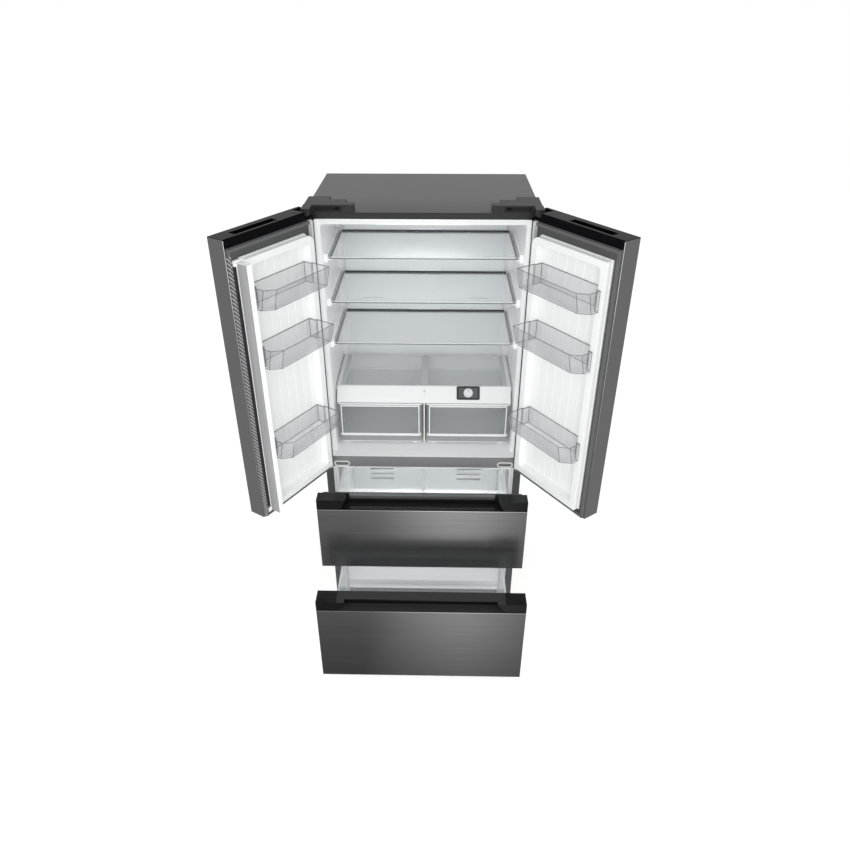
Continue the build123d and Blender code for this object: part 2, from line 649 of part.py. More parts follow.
# Drawers: steel front with foam behind it, a black cap with a grip, and a seal
grip_back = panel_front + 46
for name in ("upper", "lower"):
    if name == "upper":
        low = upper_low
        top = upper_cap_top
        high = upper_cap_top - upper_cap_height
        seal_z = (upper_low + 4, divider_bottom + 3 + seal_width)
        grip_foot = half_width - 92.5
        grip_head = half_width - 115.5
    else:
        low = lower_low
        top = lower_cap_top
        high = lower_cap_top - lower_cap_height
        seal_z = (cabinet_bottom + 6, middle_bar_low + 4 + seal_width)
        grip_foot = half_width - 81.5
        grip_head = half_width - 113.5
    body = name + "_drawer"
    frame_half = flange_inner - 5
    skin = wide(half_width, (panel_front, panel_inner), (low, high))
    skin -= wide(inside_half, (panel_front + sheet, panel_inner - sheet), (low + sheet, high + cut))
    skin -= wide(frame_half, (panel_inner - 2 * sheet, panel_inner + cut), (low + 30, high + cut))
    save(name + "_drawer_skin", skin, body)
    upright_half = flange_inner + 18
    upright_y = (panel_inner - 15, panel_inner)
    core = wide(inside_half, (panel_front + sheet, panel_inner - sheet), (low + sheet, high))
    core += wide(frame_half, (panel_inner - 2 * sheet, panel_inner), (low + 30, high))
    core += wide(upright_half, upright_y, (high, seal_z[1]))
    save(name + "_drawer_core", core, body)
    cap = wide(half_width, (panel_front, upright_y[0]), (high, top))
    floor_z = high + 3
    grip_points = [(-grip_foot, floor_z), (grip_foot, floor_z)]
    grip_points += [(grip_head, top + cut), (-grip_head, top + cut)]
    grip = prism_y(grip_points, (panel_front - cut, grip_back))
    if name == "upper":
        cap -= grip
        cap -= wide(grip_head - 11, (grip_back - 9, panel_inner), (high + 22, top + cut))
    else:
        brow = panel_front + 21
        hood_points = [(panel_front - cut, high), (grip_back - 3, high), (grip_back - 3, top - 12)]
        hood_points += [(brow, top - 6), (brow, top + cut), (panel_front - cut, top + cut)]
        cap -= grip & prism_x(hood_points, (-half_width, half_width))
        cap += wide(half_width, upright_y, (seal_z[1], top))
    save(name + "_drawer_cap", cap, body)
    seal_half = flange_inner + 16
    inner_seal = (seal_z[0] + seal_width, seal_z[1] - seal_width)
    seal = wide(seal_half, (panel_inner, panel_inner + 3), seal_z)
    seal -= wide(seal_half - seal_width, (panel_inner - cut, panel_inner + 4), inner_seal)
    lip = wide(seal_half - 2, (panel_inner + 3, -seal_gap), (seal_z[0] + 2, seal_z[1] - 2))
    lip_inside = (inner_seal[0] - 2, inner_seal[1] + 2)
    lip -= wide(seal_half - seal_width + 2, (panel_inner + 2, cut), lip_inside)
    save(name + "_drawer_gasket", seal + lip, body)
    rail_z, rail_reach = rail_sets[name]
    runner = slide_bar(runner_x, (panel_inner, rail_reach[1] - 2), (rail_z[0] + 4, rail_z[1] - 4))
    save(name + "_runners", both_sides(runner), body)


# Baskets: two open bins side by side above, one deep bin below, with side lips on the runners
def open_bin(x, y, z, wall):
    inside = block((x[0] + wall, x[1] - wall), (y[0] + wall, y[1] - wall), (z[0] + wall, z[1] + cut))
    return block(x, y, z) - inside


basket_half = runner_x[0] - 6
bins_split = 4
upper_basket_y = (panel_inner, freezer_duct_y[0] - 45)
upper_basket_z = (middle_bar_high + 16, freezer_ceiling - 7)
upper_basket = open_bin((-basket_half, bins_split), upper_basket_y, upper_basket_z, bin_wall)
upper_basket += open_bin((bins_split - bin_wall, basket_half), upper_basket_y, upper_basket_z, bin_wall)
lip_x = (basket_half - cut, runner_x[1] - 0.5)
upper_lip_low = rail_sets["upper"][0][1] - 4
upper_basket += both_sides(block(lip_x, upper_basket_y, (upper_lip_low, upper_lip_low + 3)))
save("upper_basket", upper_basket, "upper_drawer")
lower_basket_y = (panel_inner, freezer_low_rear - 8)
lower_basket_z = (freezer_floor + 8, middle_bar_low - 28)
lower_basket = open_bin((-basket_half, basket_half), lower_basket_y, lower_basket_z, bin_wall)
lower_lip_low = rail_sets["lower"][0][1] - 4
lower_basket += both_sides(block(lip_x, lower_basket_y, (lower_lip_low, lower_lip_low + 3)))
save("lower_basket", lower_basket, "lower_drawer")

# Crispers: clear open boxes with a rim and a front moulding line
crisper_rear = duct_front - 10
moulding_z = (crisper_low + 31, crisper_low + 39)
for name, (low_x, high_x) in (("left", left_crisper_x), ("right", right_crisper_x)):
    box_x = (low_x + crisper_rim, high_x - crisper_rim)
    inside_x = (box_x[0] + crisper_wall, box_x[1] - crisper_wall)
    inside_y = (shelf_front + crisper_wall, crisper_rear - crisper_wall)
    rim_y = (shelf_front - crisper_lip, crisper_rear + crisper_rim)
    inside_z = (crisper_low + crisper_wall, crisper_top + cut)
    crisper = rounded_plan(box_x, (shelf_front, crisper_rear), (crisper_low, crisper_top), crisper_corner)
    rim_z = (crisper_top - 6, crisper_top)
    crisper += rounded_plan((low_x, high_x), rim_y, rim_z, crisper_corner + crisper_rim)
    crisper -= rounded_plan(inside_x, inside_y, inside_z, crisper_corner - crisper_wall)
    moulding_x = (box_x[0] + crisper_corner, box_x[1] - crisper_corner)
    crisper += block(moulding_x, (shelf_front - 3, shelf_front), moulding_z)
    save(name + "_crisper", crisper)

# Doors, modelled closed on the right-hand side and mirrored for the left
dike_x = flange_inner - 5
dike_low = fridge_floor + 11
dike_high = throat_top - 21
back_plane = panel_inner - sheet
pocket_floor = panel_inner - panel_recess


def upper_hinge_corner(shape):
    return shape.edges().filter_by(Axis.Y).group_by(Axis.Z)[-1].sort_by(Axis.X)[-1]


def door_base(low_x, y):
    base = block((low_x, dike_x), y, (dike_low, dike_high))
    return chamfer(upper_hinge_corner(base), base_corner)


def door_relief(low_x, wall):
    step = dike_step + wall
    y = (back_plane, dike_height - wall)
    crown = block((low_x + step, dike_x - step), y, (dike_low + step, dike_high - step))
    return fillet(upper_hinge_corner(crown), dike_corner - wall)


def door_pocket(low_x, grow, y):
    edge = dike_width - grow
    z = (dike_low + edge, dike_high - edge)
    return rounded_front((low_x + edge, dike_x - edge), y, z, 14)


def bin_body(z, wall, tongue_x, front_x):
    tongue = dike_height + 0.5 + wall
    front = bin_depth - wall
    corner = front - bin_corner - 5 + wall / 2
    rise = z[1] - z[0]
    lean = bin_lean * rise / bin_height
    chamfer_x = front_x[0] + bin_corner - wall / 2
    points = [(front_x[0], tongue), (front_x[0], corner), (chamfer_x, front), (front_x[1], front)]
    points += [(front_x[1], tongue)]
    face = Pos(0, 0, z[0]) * Polygon(*points, align=None)
    body = extrude(face, math.hypot(lean, rise), dir=(0, lean, rise))
    body += block(front_x, (tongue, tongue + bin_lean + 6), z)
    return body + block(tongue_x, (pocket_floor + wall, tongue + 6), z)


# Flip mullion sizes, with its pivot beside the left door's seal
mullion_half = 22
mullion_depth = 22
pivot_x = -27
pivot_y = -4.5
mullion_z = (fridge_floor + 8, fridge_ceiling)
lug_thick = 8

for side in ("right", "left"):
    body = side + "_door"
    white_edge = 34 if side == "right" else 56
    bin_x = white_edge + 14
    door_x = (door_gap, half_width)
    inner_x = (door_gap + sheet, inside_half)
    skin = block(door_x, (panel_front, panel_inner), (door_bottom, top_cap_low))
    skin -= block(inner_x, (panel_front + sheet, back_plane), (door_bottom - cut, top_cap_low + cut))
    skin -= door_base(white_edge, (back_plane - cut, panel_inner + cut))
    skin += block(door_x, (panel_front, panel_front + sheet), (top_cap_low - cut, door_top))
    end_sheet = (door_gap, door_gap + sheet)
    skin += block(end_sheet, (panel_front, panel_inner), (top_cap_low - cut, door_top - cap_plate))

    ridge = door_relief(white_edge, liner_wall) - door_pocket(white_edge, liner_wall, (-20, 30))
    liner_floor = (pocket_floor - liner_wall, panel_inner)
    core_z = (door_bottom + bottom_cap_height, top_cap_low)
    core = block(inner_x, (panel_front + sheet, back_plane), core_z) + ridge
    core -= door_pocket(white_edge, liner_wall, liner_floor)
    liner = door_relief(white_edge, 0) + door_base(white_edge, (back_plane, panel_inner + dike_base))
    liner += door_pocket(white_edge, liner_wall, (liner_floor[0], back_plane))
    liner -= ridge
    liner -= door_pocket(white_edge, 0, (pocket_floor, dike_height + cut))
    pocket_x = (white_edge + dike_width, dike_x - dike_width)
    flute_z = (dike_low + dike_width + 12, dike_high - dike_width - 12)
    flute_count = int((pocket_x[1] - pocket_x[0] - flute_width) // flute_pitch)
    for flute in range(flute_count):
        flute_x = sum(pocket_x) / 2 + (flute - (flute_count - 1) / 2) * flute_pitch
        flute_y = (pocket_floor - liner_wall / 2, pocket_floor + cut)
        liner -= block((flute_x - flute_width / 2, flute_x + flute_width / 2), flute_y, flute_z)

    bottom_cap = block(inner_x, (panel_front + sheet, back_plane), (door_bottom, core_z[0]))
    bore_radius = pin_radius + running_gap
    bottom_cap -= rod_z(pin_x, pin_y, (door_bottom - cut, core_z[0] - sheet), bore_radius)
    cap_y = (panel_front + sheet, panel_inner)
    top_cap = block((end_sheet[1], half_width), cap_y, (top_cap_low, door_top))
    top_cap += block(door_x, cap_y, (door_top - cap_plate, door_top))
    notch_y = (panel_front + notch_front_wall, panel_inner + cut)
    top_cap -= block((half_width - notch_length, half_width + cut), notch_y, (notch_floor, door_top + cut))
    top_cap -= rod_z(pin_x, pin_y, (top_cap_low + sheet, notch_floor + cut), bore_radius)
    tray_y = (panel_front + 25, panel_inner - 11)
    top_cap -= block((65, 255), tray_y, (door_top - 12, door_top + cut))
    seam_x = half_width - notch_length - 31.5
    seam_y = (panel_front + 3, panel_inner + cut)
    top_cap -= block((seam_x, seam_x + 1.5), seam_y, (door_top - cap_plate, door_top + cut))

    seal_x = (door_gap + 4, flange_inner + 16)
    seal_z = (divider_top - seal_width, top_strip_bottom + seal_width + cut)
    inner_seal_x = (seal_x[0] + seal_width, seal_x[1] - seal_width)
    inner_seal_z = (seal_z[0] + seal_width, seal_z[1] - seal_width)
    gasket = block(seal_x, (panel_inner, panel_inner + 3), seal_z)
    gasket -= block(inner_seal_x, (panel_inner - cut, panel_inner + 4), inner_seal_z)
    lip_y = (panel_inner + 3, -seal_gap)
    lip = block((seal_x[0] + 2, seal_x[1] - 2), lip_y, (seal_z[0] + 2, seal_z[1] - 2))
    lip_inside_x = (inner_seal_x[0] - 2, inner_seal_x[1] + 2)
    lip -= block(lip_inside_x, (lip_y[0] - cut, cut), (inner_seal_z[0] - 2, inner_seal_z[1] + 2))
    gasket += lip

    tongue_x = (white_edge + dike_width + 2, dike_x - dike_width - 2)
    front_x = (bin_x, dike_x - 22)
    tongue_inside = (tongue_x[0] + bin_wall, tongue_x[1] - bin_wall)
    front_inside = (front_x[0] + bin_wall, front_x[1] - bin_wall)
    bins = []
    for drop in (top_bin_drop, middle_bin_drop, bottom_bin_drop):
        low = dike_high - drop
        high = low + bin_height
        hollow = bin_body((low + bin_wall, high + cut), bin_wall, tongue_inside, front_inside)
        bins.append(bin_body((low, high), 0, tongue_x, front_x) - hollow)
        for lug_x in ((tongue_x[0] - 3, tongue_x[0] + 3), (tongue_x[1] - 3, tongue_x[1] + 3)):
            liner += block(lug_x, (pocket_floor - cut, 8), (low - 10, low))

    if side == "left":
        lug_x = (-pivot_x - 6, white_edge + dike_step + cut)
        for lug_low in (mullion_z[1] + 1, mullion_z[0] - 1 - lug_thick):
            liner += block(lug_x, (panel_inner, 0), (lug_low, lug_low + lug_thick))
        liner += block((white_edge - 8, lug_x[1]), (panel_inner, 0), (mullion_z[0] - 2, dike_low + 5))
        pivot_z = (mullion_z[0] - 12, mullion_z[1] + 12)
        liner -= rod_z(-pivot_x, pivot_y, pivot_z, small_pin_radius + running_gap)

    pieces = {"skin": skin, "core": core, "liner": liner, "gasket": gasket}
    pieces["caps"] = group([bottom_cap, top_cap])
    pieces["bins"] = group(bins)
    for name, shape in pieces.items():
        placed = shape if side == "right" else mirror(shape, Plane.YZ)
        save(body + "_" + name, placed, body)

# Flip mullion, folded against the left door's free edge
folded_face = pivot_x + pivot_y - seal_gap
folded_back = folded_face - mullion_depth
folded_y = (pivot_y - mullion_half - pivot_x, pivot_y + mullion_half - pivot_x)
face_thick = 1.5
mullion = block((folded_back, folded_face - face_thick), folded_y, mullion_z)
for end_z in ((mullion_z[0], mullion_z[0] + lug_thick), (mullion_z[1] - lug_thick, mullion_z[1])):
    mullion += block((folded_back + 9, pivot_x + 4), (pivot_y - 3.7, folded_y[0]), end_z)
    mullion += block((folded_back + 9, folded_face - face_thick - 0.7), (pivot_y, folded_y[0] + 1.5), end_z)
    pin_z = (end_z[0] - 8, end_z[1]) if end_z[0] == mullion_z[0] else (end_z[0], end_z[1] + 8)
    mullion += rod_z(pivot_x, pivot_y, pin_z, small_pin_radius)
save("mullion_body", mullion, "left_door")
save("mullion_face", block((folded_face - face_thick, folded_face), folded_y, mullion_z), "left_door")
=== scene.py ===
# %% [markdown]
# # A refrigerator with two doors and two drawers, dressed around its fixed frame
#
# The frame holds every piece at its real size. Here each piece gets its finish, and the small trim
# that a frame has no need of is modelled by hand. The frame is loaded first, because every later
# piece takes its place from it.

# %% Load the frame
import math

import bmesh
import bpy
from mathutils import Matrix, Vector


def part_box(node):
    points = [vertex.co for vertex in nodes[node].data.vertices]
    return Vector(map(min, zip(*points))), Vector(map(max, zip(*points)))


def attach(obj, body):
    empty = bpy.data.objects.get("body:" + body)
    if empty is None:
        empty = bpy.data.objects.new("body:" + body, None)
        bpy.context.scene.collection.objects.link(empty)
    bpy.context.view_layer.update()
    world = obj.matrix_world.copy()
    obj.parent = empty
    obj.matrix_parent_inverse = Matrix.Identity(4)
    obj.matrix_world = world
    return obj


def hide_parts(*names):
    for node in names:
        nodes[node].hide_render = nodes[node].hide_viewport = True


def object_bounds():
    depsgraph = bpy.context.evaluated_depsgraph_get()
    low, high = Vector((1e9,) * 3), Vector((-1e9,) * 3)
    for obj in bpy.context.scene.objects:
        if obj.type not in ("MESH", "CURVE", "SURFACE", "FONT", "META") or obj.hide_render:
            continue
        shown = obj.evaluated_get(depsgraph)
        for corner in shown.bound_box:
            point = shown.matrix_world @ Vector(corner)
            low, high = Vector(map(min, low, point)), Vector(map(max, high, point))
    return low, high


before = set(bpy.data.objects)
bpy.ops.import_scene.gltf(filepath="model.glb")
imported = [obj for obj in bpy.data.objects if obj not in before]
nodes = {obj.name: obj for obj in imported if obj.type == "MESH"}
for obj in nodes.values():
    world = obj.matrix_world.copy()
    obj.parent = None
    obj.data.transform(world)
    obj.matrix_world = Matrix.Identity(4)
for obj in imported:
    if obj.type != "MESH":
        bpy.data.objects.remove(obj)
cad_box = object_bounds()
bpy.ops.object.select_all(action="DESELECT")
print("pieces in the frame:", len(nodes))

# %% [markdown]
# ## The camera
#
# The photograph looks down on the open refrigerator from just right of its middle. The lens and the
# place were worked out from the straight edges of the cabinet, doors and drawers, so the camera is
# given as a place, three angles and a focal length rather than aimed at the object.

# %% Place the camera
camera_place = Vector((0.0565, -2.5560, 2.5310))
camera_pitch = 0.55288
camera_yaw = -0.019745
camera_roll = -0.0006
focal_pixels = 712.5
image_pixels = 850
sensor_mm = 36.0

forward = Vector(
    (
        math.sin(camera_yaw) * math.cos(camera_pitch),
        math.cos(camera_yaw) * math.cos(camera_pitch),
        -math.sin(camera_pitch),
    )
)
level_right = Vector((math.cos(camera_yaw), -math.sin(camera_yaw), 0.0))
level_up = level_right.cross(forward)
right = level_right * math.cos(camera_roll) + level_up * math.sin(camera_roll)
up = level_up * math.cos(camera_roll) - level_right * math.sin(camera_roll)
turn = Matrix((right, up, -forward)).transposed().to_4x4()

camera_data = bpy.data.cameras.new("camera")
camera_data.lens = focal_pixels * sensor_mm / image_pixels
camera_data.sensor_width = sensor_mm
camera = bpy.data.objects.new("camera", camera_data)
bpy.context.scene.collection.objects.link(camera)
camera.matrix_world = Matrix.Translation(camera_place) @ turn
bpy.context.scene.camera = camera
print("lens in mm:", round(camera_data.lens, 2))

# %% [markdown]
# ## Node helpers
#
# Every finish below is a small tree of nodes. A few short helpers make the nodes that all of them
# share: arithmetic, a stretched grain, a range, a relief and a mix of two colours. With them a finish
# reads as a short list of what the real surface has.


# %% Helpers that make nodes
def feed(tree, socket, value):
    """Links a node's output to a socket, or writes a plain number or colour on it."""
    if isinstance(value, (int, float, tuple)):
        socket.default_value = value
    else:
        tree.links.new(value, socket)


def measure(tree, operation, first, second=0.0):
    """One step of arithmetic on numbers or on other nodes' outputs."""
    node = tree.nodes.new("ShaderNodeMath")
    node.operation = operation
    feed(tree, node.inputs[0], first)
    feed(tree, node.inputs[1], second)
    return node.outputs[0]


def own_place(tree):
    """The surface's own x, y and z, in metres, on the object."""
    coordinates = tree.nodes.new("ShaderNodeTexCoord")
    apart = tree.nodes.new("ShaderNodeSeparateXYZ")
    tree.links.new(coordinates.outputs["Object"], apart.inputs[0])
    return apart.outputs


def faces_towards(tree, direction, limit=0.9):
    """1 where the surface faces a direction of the object's own axes, and 0 elsewhere."""
    coordinates = tree.nodes.new("ShaderNodeTexCoord")
    dot = tree.nodes.new("ShaderNodeVectorMath")
    dot.operation = "DOT_PRODUCT"
    tree.links.new(coordinates.outputs["Normal"], dot.inputs[0])
    dot.inputs[1].default_value = direction
    return measure(tree, "GREATER_THAN", dot.outputs["Value"], limit)


def band(tree, value, low, high):
    """1 where a value lies between two numbers, and 0 elsewhere."""
    above = measure(tree, "GREATER_THAN", value, low)
    return measure(tree, "MULTIPLY", above, measure(tree, "LESS_THAN", value, high))


def bands(tree, value, ranges):
    """1 where a value lies in any one of several ranges, and 0 elsewhere."""
    total = band(tree, value, *ranges[0])
    for low, high in ranges[1:]:
        total = measure(tree, "MAXIMUM", total, band(tree, value, low, high))
    return total


def grain(tree, scale, stretch=(1, 1, 1), detail=2.0):
    """A noise texture on object coordinates, stretched by a mapping node."""
    coordinates = tree.nodes.new("ShaderNodeTexCoord")
    mapping = tree.nodes.new("ShaderNodeMapping")
    mapping.inputs["Scale"].default_value = stretch
    noise = tree.nodes.new("ShaderNodeTexNoise")
    noise.inputs["Scale"].default_value = scale
    noise.inputs["Detail"].default_value = detail
    tree.links.new(coordinates.outputs["Object"], mapping.inputs["Vector"])
    tree.links.new(mapping.outputs["Vector"], noise.inputs["Vector"])
    return noise.outputs["Fac"]


def spread(tree, value, low, high):
    """Maps a 0 to 1 value to a range."""
    ramp = tree.nodes.new("ShaderNodeMapRange")
    ramp.inputs["To Min"].default_value = low
    ramp.inputs["To Max"].default_value = high
    tree.links.new(value, ramp.inputs["Value"])
    return ramp.outputs["Result"]


def bump(tree, height, strength, distance):
    """A relief from a 0 to 1 height, with its depth in metres."""
    node = tree.nodes.new("ShaderNodeBump")
    node.inputs["Strength"].default_value = strength
    node.inputs["Distance"].default_value = distance
    tree.links.new(height, node.inputs["Height"])
    return node.outputs["Normal"]


def tint(tree, value, low_colour, high_colour):
    """Mixes two colours, plain or linked, by a 0 to 1 value."""
    mix = tree.nodes.new("ShaderNodeMix")
    mix.data_type = "RGBA"
    tree.links.new(value, mix.inputs["Factor"])
    for socket, colour in ((mix.inputs["A"], low_colour), (mix.inputs["B"], high_colour)):
        feed(tree, socket, (*colour, 1.0) if isinstance(colour, tuple) else colour)
    return mix.outputs["Result"]


def new_finish(name):
    """A new material, with its node tree and its main shader."""
    finish = bpy.data.materials.new(name)
    finish.use_nodes = True
    return finish, finish.node_tree, finish.node_tree.nodes["Principled BSDF"]


def shade_of(colour, share):
    """The same colour, darker or lighter by a share."""
    return tuple(part * share for part in colour)


print("node helpers ready")

# %% [markdown]
# ## The studio
#
# The object stands on a seamless white sweep. The world is white to the camera, to gloss and through
# clear walls, and gives an even, slightly weaker light, with soft lamps in front and above. The floor
# is part light of its own and part plain white paint, so it reads as white and keeps a soft shadow.
# Two lamps inside stand for the refrigerator's own lights.

# %% Set the world
scene = bpy.context.scene
scene.view_settings.view_transform = "Standard"
world_light = 0.78


def seen_directly(tree):
    """1 for camera, glossy and transmission rays, and 0 for the rays that carry light."""
    path = tree.nodes.new("ShaderNodeLightPath")
    seen = measure(tree, "MAXIMUM", path.outputs["Is Camera Ray"], path.outputs["Is Transmission Ray"])
    return measure(tree, "MAXIMUM", seen, path.outputs["Is Glossy Ray"])


world = bpy.data.worlds.new("studio")
scene.world = world
world.use_nodes = True
background = world.node_tree.nodes["Background"]
background.inputs["Color"].default_value = (1.0, 1.0, 1.0, 1.0)
strength = spread(world.node_tree, seen_directly(world.node_tree), world_light, 1.0)
world.node_tree.links.new(strength, background.inputs["Strength"])
print("light from the world:", world_light)


# %% Hang the lamps
def soft_lamp(name, place, aim, size, power):
    """A wide lamp at a place in metres, aimed at a point, with its power in watts."""
    data = bpy.data.lights.new(name, "AREA")
    data.shape = "RECTANGLE"
    data.size = size[0]
    data.size_y = size[1]
    data.energy = power
    lamp = bpy.data.objects.new(name, data)
    bpy.context.scene.collection.objects.link(lamp)
    lamp.location = place
    lamp.rotation_euler = (Vector(aim) - Vector(place)).to_track_quat("-Z", "Y").to_euler()


soft_lamp("front_lamp", (-0.35, -3.3, 2.9), (0.0, 0.0, 0.8), (2.0, 1.6), 34)
soft_lamp("low_lamp", (0.2, -3.6, 1.0), (0.0, 0.0, 0.8), (2.4, 1.0), 30)
soft_lamp("left_lamp", (-3.0, -2.0, 1.8), (0.0, 0.0, 0.9), (1.6, 2.2), 13)
soft_lamp("right_lamp", (3.0, -2.0, 1.8), (0.0, 0.0, 0.9), (1.6, 2.2), 20)
soft_lamp("fridge_lamp", (0.0, 0.03, 1.79), (0.0, 0.16, 1.0), (0.32, 0.04), 0.3)
soft_lamp("freezer_lamp", (0.0, 0.2, 0.775), (0.0, 0.1, 0.3), (0.6, 0.3), 9.0)
inner_lamps = ("fridge_lamp", "freezer_lamp")
for name in inner_lamps:
    bpy.data.objects[name].visible_camera = False
    bpy.data.objects[name].visible_glossy = False
print("lamps hung:", len(bpy.data.lights), "of which inside:", len(inner_lamps))

# %% Lay the floor
floor_size = 16.0
bpy.ops.mesh.primitive_plane_add(size=floor_size, location=(0, 0, 0))
floor = bpy.context.object
floor.name = "floor"
floor_finish, tree, shader = new_finish("white_sweep")
shader.inputs["Base Color"].default_value = (0.42, 0.42, 0.42, 1.0)
shader.inputs["Roughness"].default_value = 0.9
shader.inputs["Specular IOR Level"].default_value = 0.0
shader.inputs["Emission Color"].default_value = (1.0, 1.0, 1.0, 1.0)
tree.links.new(spread(tree, seen_directly(tree), 0.42, 0.72), shader.inputs["Emission Strength"])
tree.links.new(bump(tree, grain(tree, 40), 0.05, 0.0005), shader.inputs["Normal"])
floor.data.materials.append(floor_finish)
print("floor laid at z = 0, metres across:", floor_size)

# %% [markdown]
# A brushed front shows whatever stands before it. A graded card on the floor, which only gloss can
# see, gives the fronts the soft bright patch right of the middle and the darker ends.

# %% Lay the graded card
card_place = (0.0, -1.3, 0.002)
card_size = (3.0, 1.6, 1.0)
bright_middle = 0.17
bright_reach = 0.42
fade_start = 0.55
fade_depth = 0.7
bpy.ops.mesh.primitive_plane_add(size=1, location=card_place)
card = bpy.context.object
card.name = "graded_card"
card.scale = card_size
bpy.ops.object.transform_apply(location=True, rotation=True, scale=True)
card_finish = bpy.data.materials.new("graded_card")
card_finish.use_nodes = True
tree = card_finish.node_tree
tree.nodes.remove(tree.nodes["Principled BSDF"])
glow = tree.nodes.new("ShaderNodeEmission")
x, y, z = own_place(tree)
off_middle = measure(tree, "ABSOLUTE", measure(tree, "SUBTRACT", x, bright_middle))
share = measure(tree, "DIVIDE", off_middle, bright_reach)
falloff = measure(tree, "POWER", measure(tree, "MINIMUM", share, 1.0), 1.4)
off_object = measure(tree, "SUBTRACT", measure(tree, "MULTIPLY", y, -1.0), fade_start)
near = measure(tree, "DIVIDE", off_object, fade_depth)
fall = measure(tree, "MINIMUM", measure(tree, "MAXIMUM", near, 0.0), 1.0)
across = spread(tree, falloff, 1.0, 0.24)
along = spread(tree, fall, 0.42, 2.0)
tree.links.new(measure(tree, "MULTIPLY", across, along), glow.inputs["Strength"])
tree.links.new(glow.outputs[0], tree.nodes["Material Output"].inputs["Surface"])
card.data.materials.append(card_finish)
card.visible_camera = False
card.visible_diffuse = False
card.visible_transmission = False
card.visible_shadow = False
print("bright patch reaches, in metres:", bright_reach)

# %% [markdown]
# ## Moulded plastic
#
# The liners, bins, caps and covers are moulded or drawn from sheet. Up close such plastic has a very
# fine grain and slow, faint changes of tone and gloss, so one helper takes a colour and a roughness
# and lays those three over it. Black parts get a weak specular level, or a white studio greys them.


# %% The moulded plastic helper
def moulded_plastic(name, colour, roughness, grain_mm=0.9, relief=0.00003, specular=0.5):
    """A plastic of one colour, or of a colour that a function makes on the node tree."""
    finish, tree, shader = new_finish(name)
    broad = grain(tree, 6)
    base = colour if isinstance(colour, tuple) else colour(tree)
    if isinstance(base, tuple):
        base = tint(tree, broad, shade_of(base, 0.97), base)
    feed(tree, shader.inputs["Base Color"], base)
    tree.links.new(spread(tree, broad, roughness - 0.04, roughness + 0.04), shader.inputs["Roughness"])
    fine = grain(tree, 1000 / grain_mm)
    tree.links.new(bump(tree, fine, 0.3, relief), shader.inputs["Normal"])
    shader.inputs["Specular IOR Level"].default_value = specular
    return finish


white_plastic = moulded_plastic("white_liner", (0.94, 0.945, 0.945), 0.3)
fascia_plastic = moulded_plastic("white_fascia", (0.8, 0.805, 0.805), 0.3)
duct_plastic = moulded_plastic("grey_duct", (0.70, 0.735, 0.745), 0.4)
lamp_plastic = moulded_plastic("lamp_cover", (0.95, 0.95, 0.93), 0.25)
dark_plastic = moulded_plastic("dark_trim", (0.028, 0.029, 0.031), 0.4, specular=0.3)
dial_plastic = moulded_plastic("dial_white", (0.72, 0.72, 0.72), 0.3)
foam_filling = moulded_plastic("foam_filling", (0.7, 0.62, 0.4), 0.9, 3.0, 0.0004, 0.1)
print("moulded finishes made")

# %% [markdown]
# The door and drawer caps are black. Their top faces, told from the rest by their direction, are painted
# a little lighter as light falling from above, and the lower drawer's top is painted much lighter than
# the upper's, as painted light and shade. A drawer's cap is darker beyond the ends of its grip than
# between them. The covers over the hinges are the same stuff in dark grey, with a nearly black window in
# front.


# %% The black caps
grip_half = 0.335
between_drawers_z = 0.47


def cap_colour(tree):
    # Painted light: the top face is a little lighter, as lit from above.
    top_face = faces_towards(tree, (0.0, 0.0, 1.0))
    return tint(tree, top_face, (0.003, 0.003, 0.0035), (0.005, 0.005, 0.0055))


def drawer_cap_colour(tree):
    # Painted light and shade: a lighter top face, much lighter on the lower drawer than on the upper.
    top_face = faces_towards(tree, (0.0, 0.0, 1.0))
    x, y, z = own_place(tree)
    at_end = measure(tree, "GREATER_THAN", measure(tree, "ABSOLUTE", x), grip_half)
    lower_one = measure(tree, "LESS_THAN", z, between_drawers_z)
    between = tint(tree, lower_one, (0.011, 0.011, 0.0115), (0.034, 0.034, 0.035))
    lit_top_tone = tint(tree, at_end, between, (0.0075, 0.0075, 0.008))
    return tint(tree, top_face, (0.003, 0.003, 0.0035), lit_top_tone)


cap_plastic = moulded_plastic("black_cap", cap_colour, 0.3, 1.2, 0.00004, 0.03)
drawer_cap_plastic = moulded_plastic("drawer_cap", drawer_cap_colour, 0.2, 1.2, 0.00004, 0.22)
print("cap finishes made")


# %% The hinge covers' finish
window_x = (0.284, 0.378)
window_z = (1.862, 1.879)


def hinge_cover_colour(tree):
    top_face = faces_towards(tree, (0.0, 0.0, 1.0))
    x, y, z = own_place(tree)
    window = band(tree, measure(tree, "ABSOLUTE", x), *window_x)
    window = measure(tree, "MULTIPLY", window, band(tree, z, *window_z))
    front_tone = tint(tree, window, (0.02, 0.02, 0.021), (0.002, 0.002, 0.002))
    return tint(tree, top_face, front_tone, (0.021, 0.021, 0.022))


cover_plastic = moulded_plastic("hinge_cover", hinge_cover_colour, 0.45, 1.0, 0.00006, 0.15)
print("window in each cover, in metres:", round(window_x[1] - window_x[0], 3))
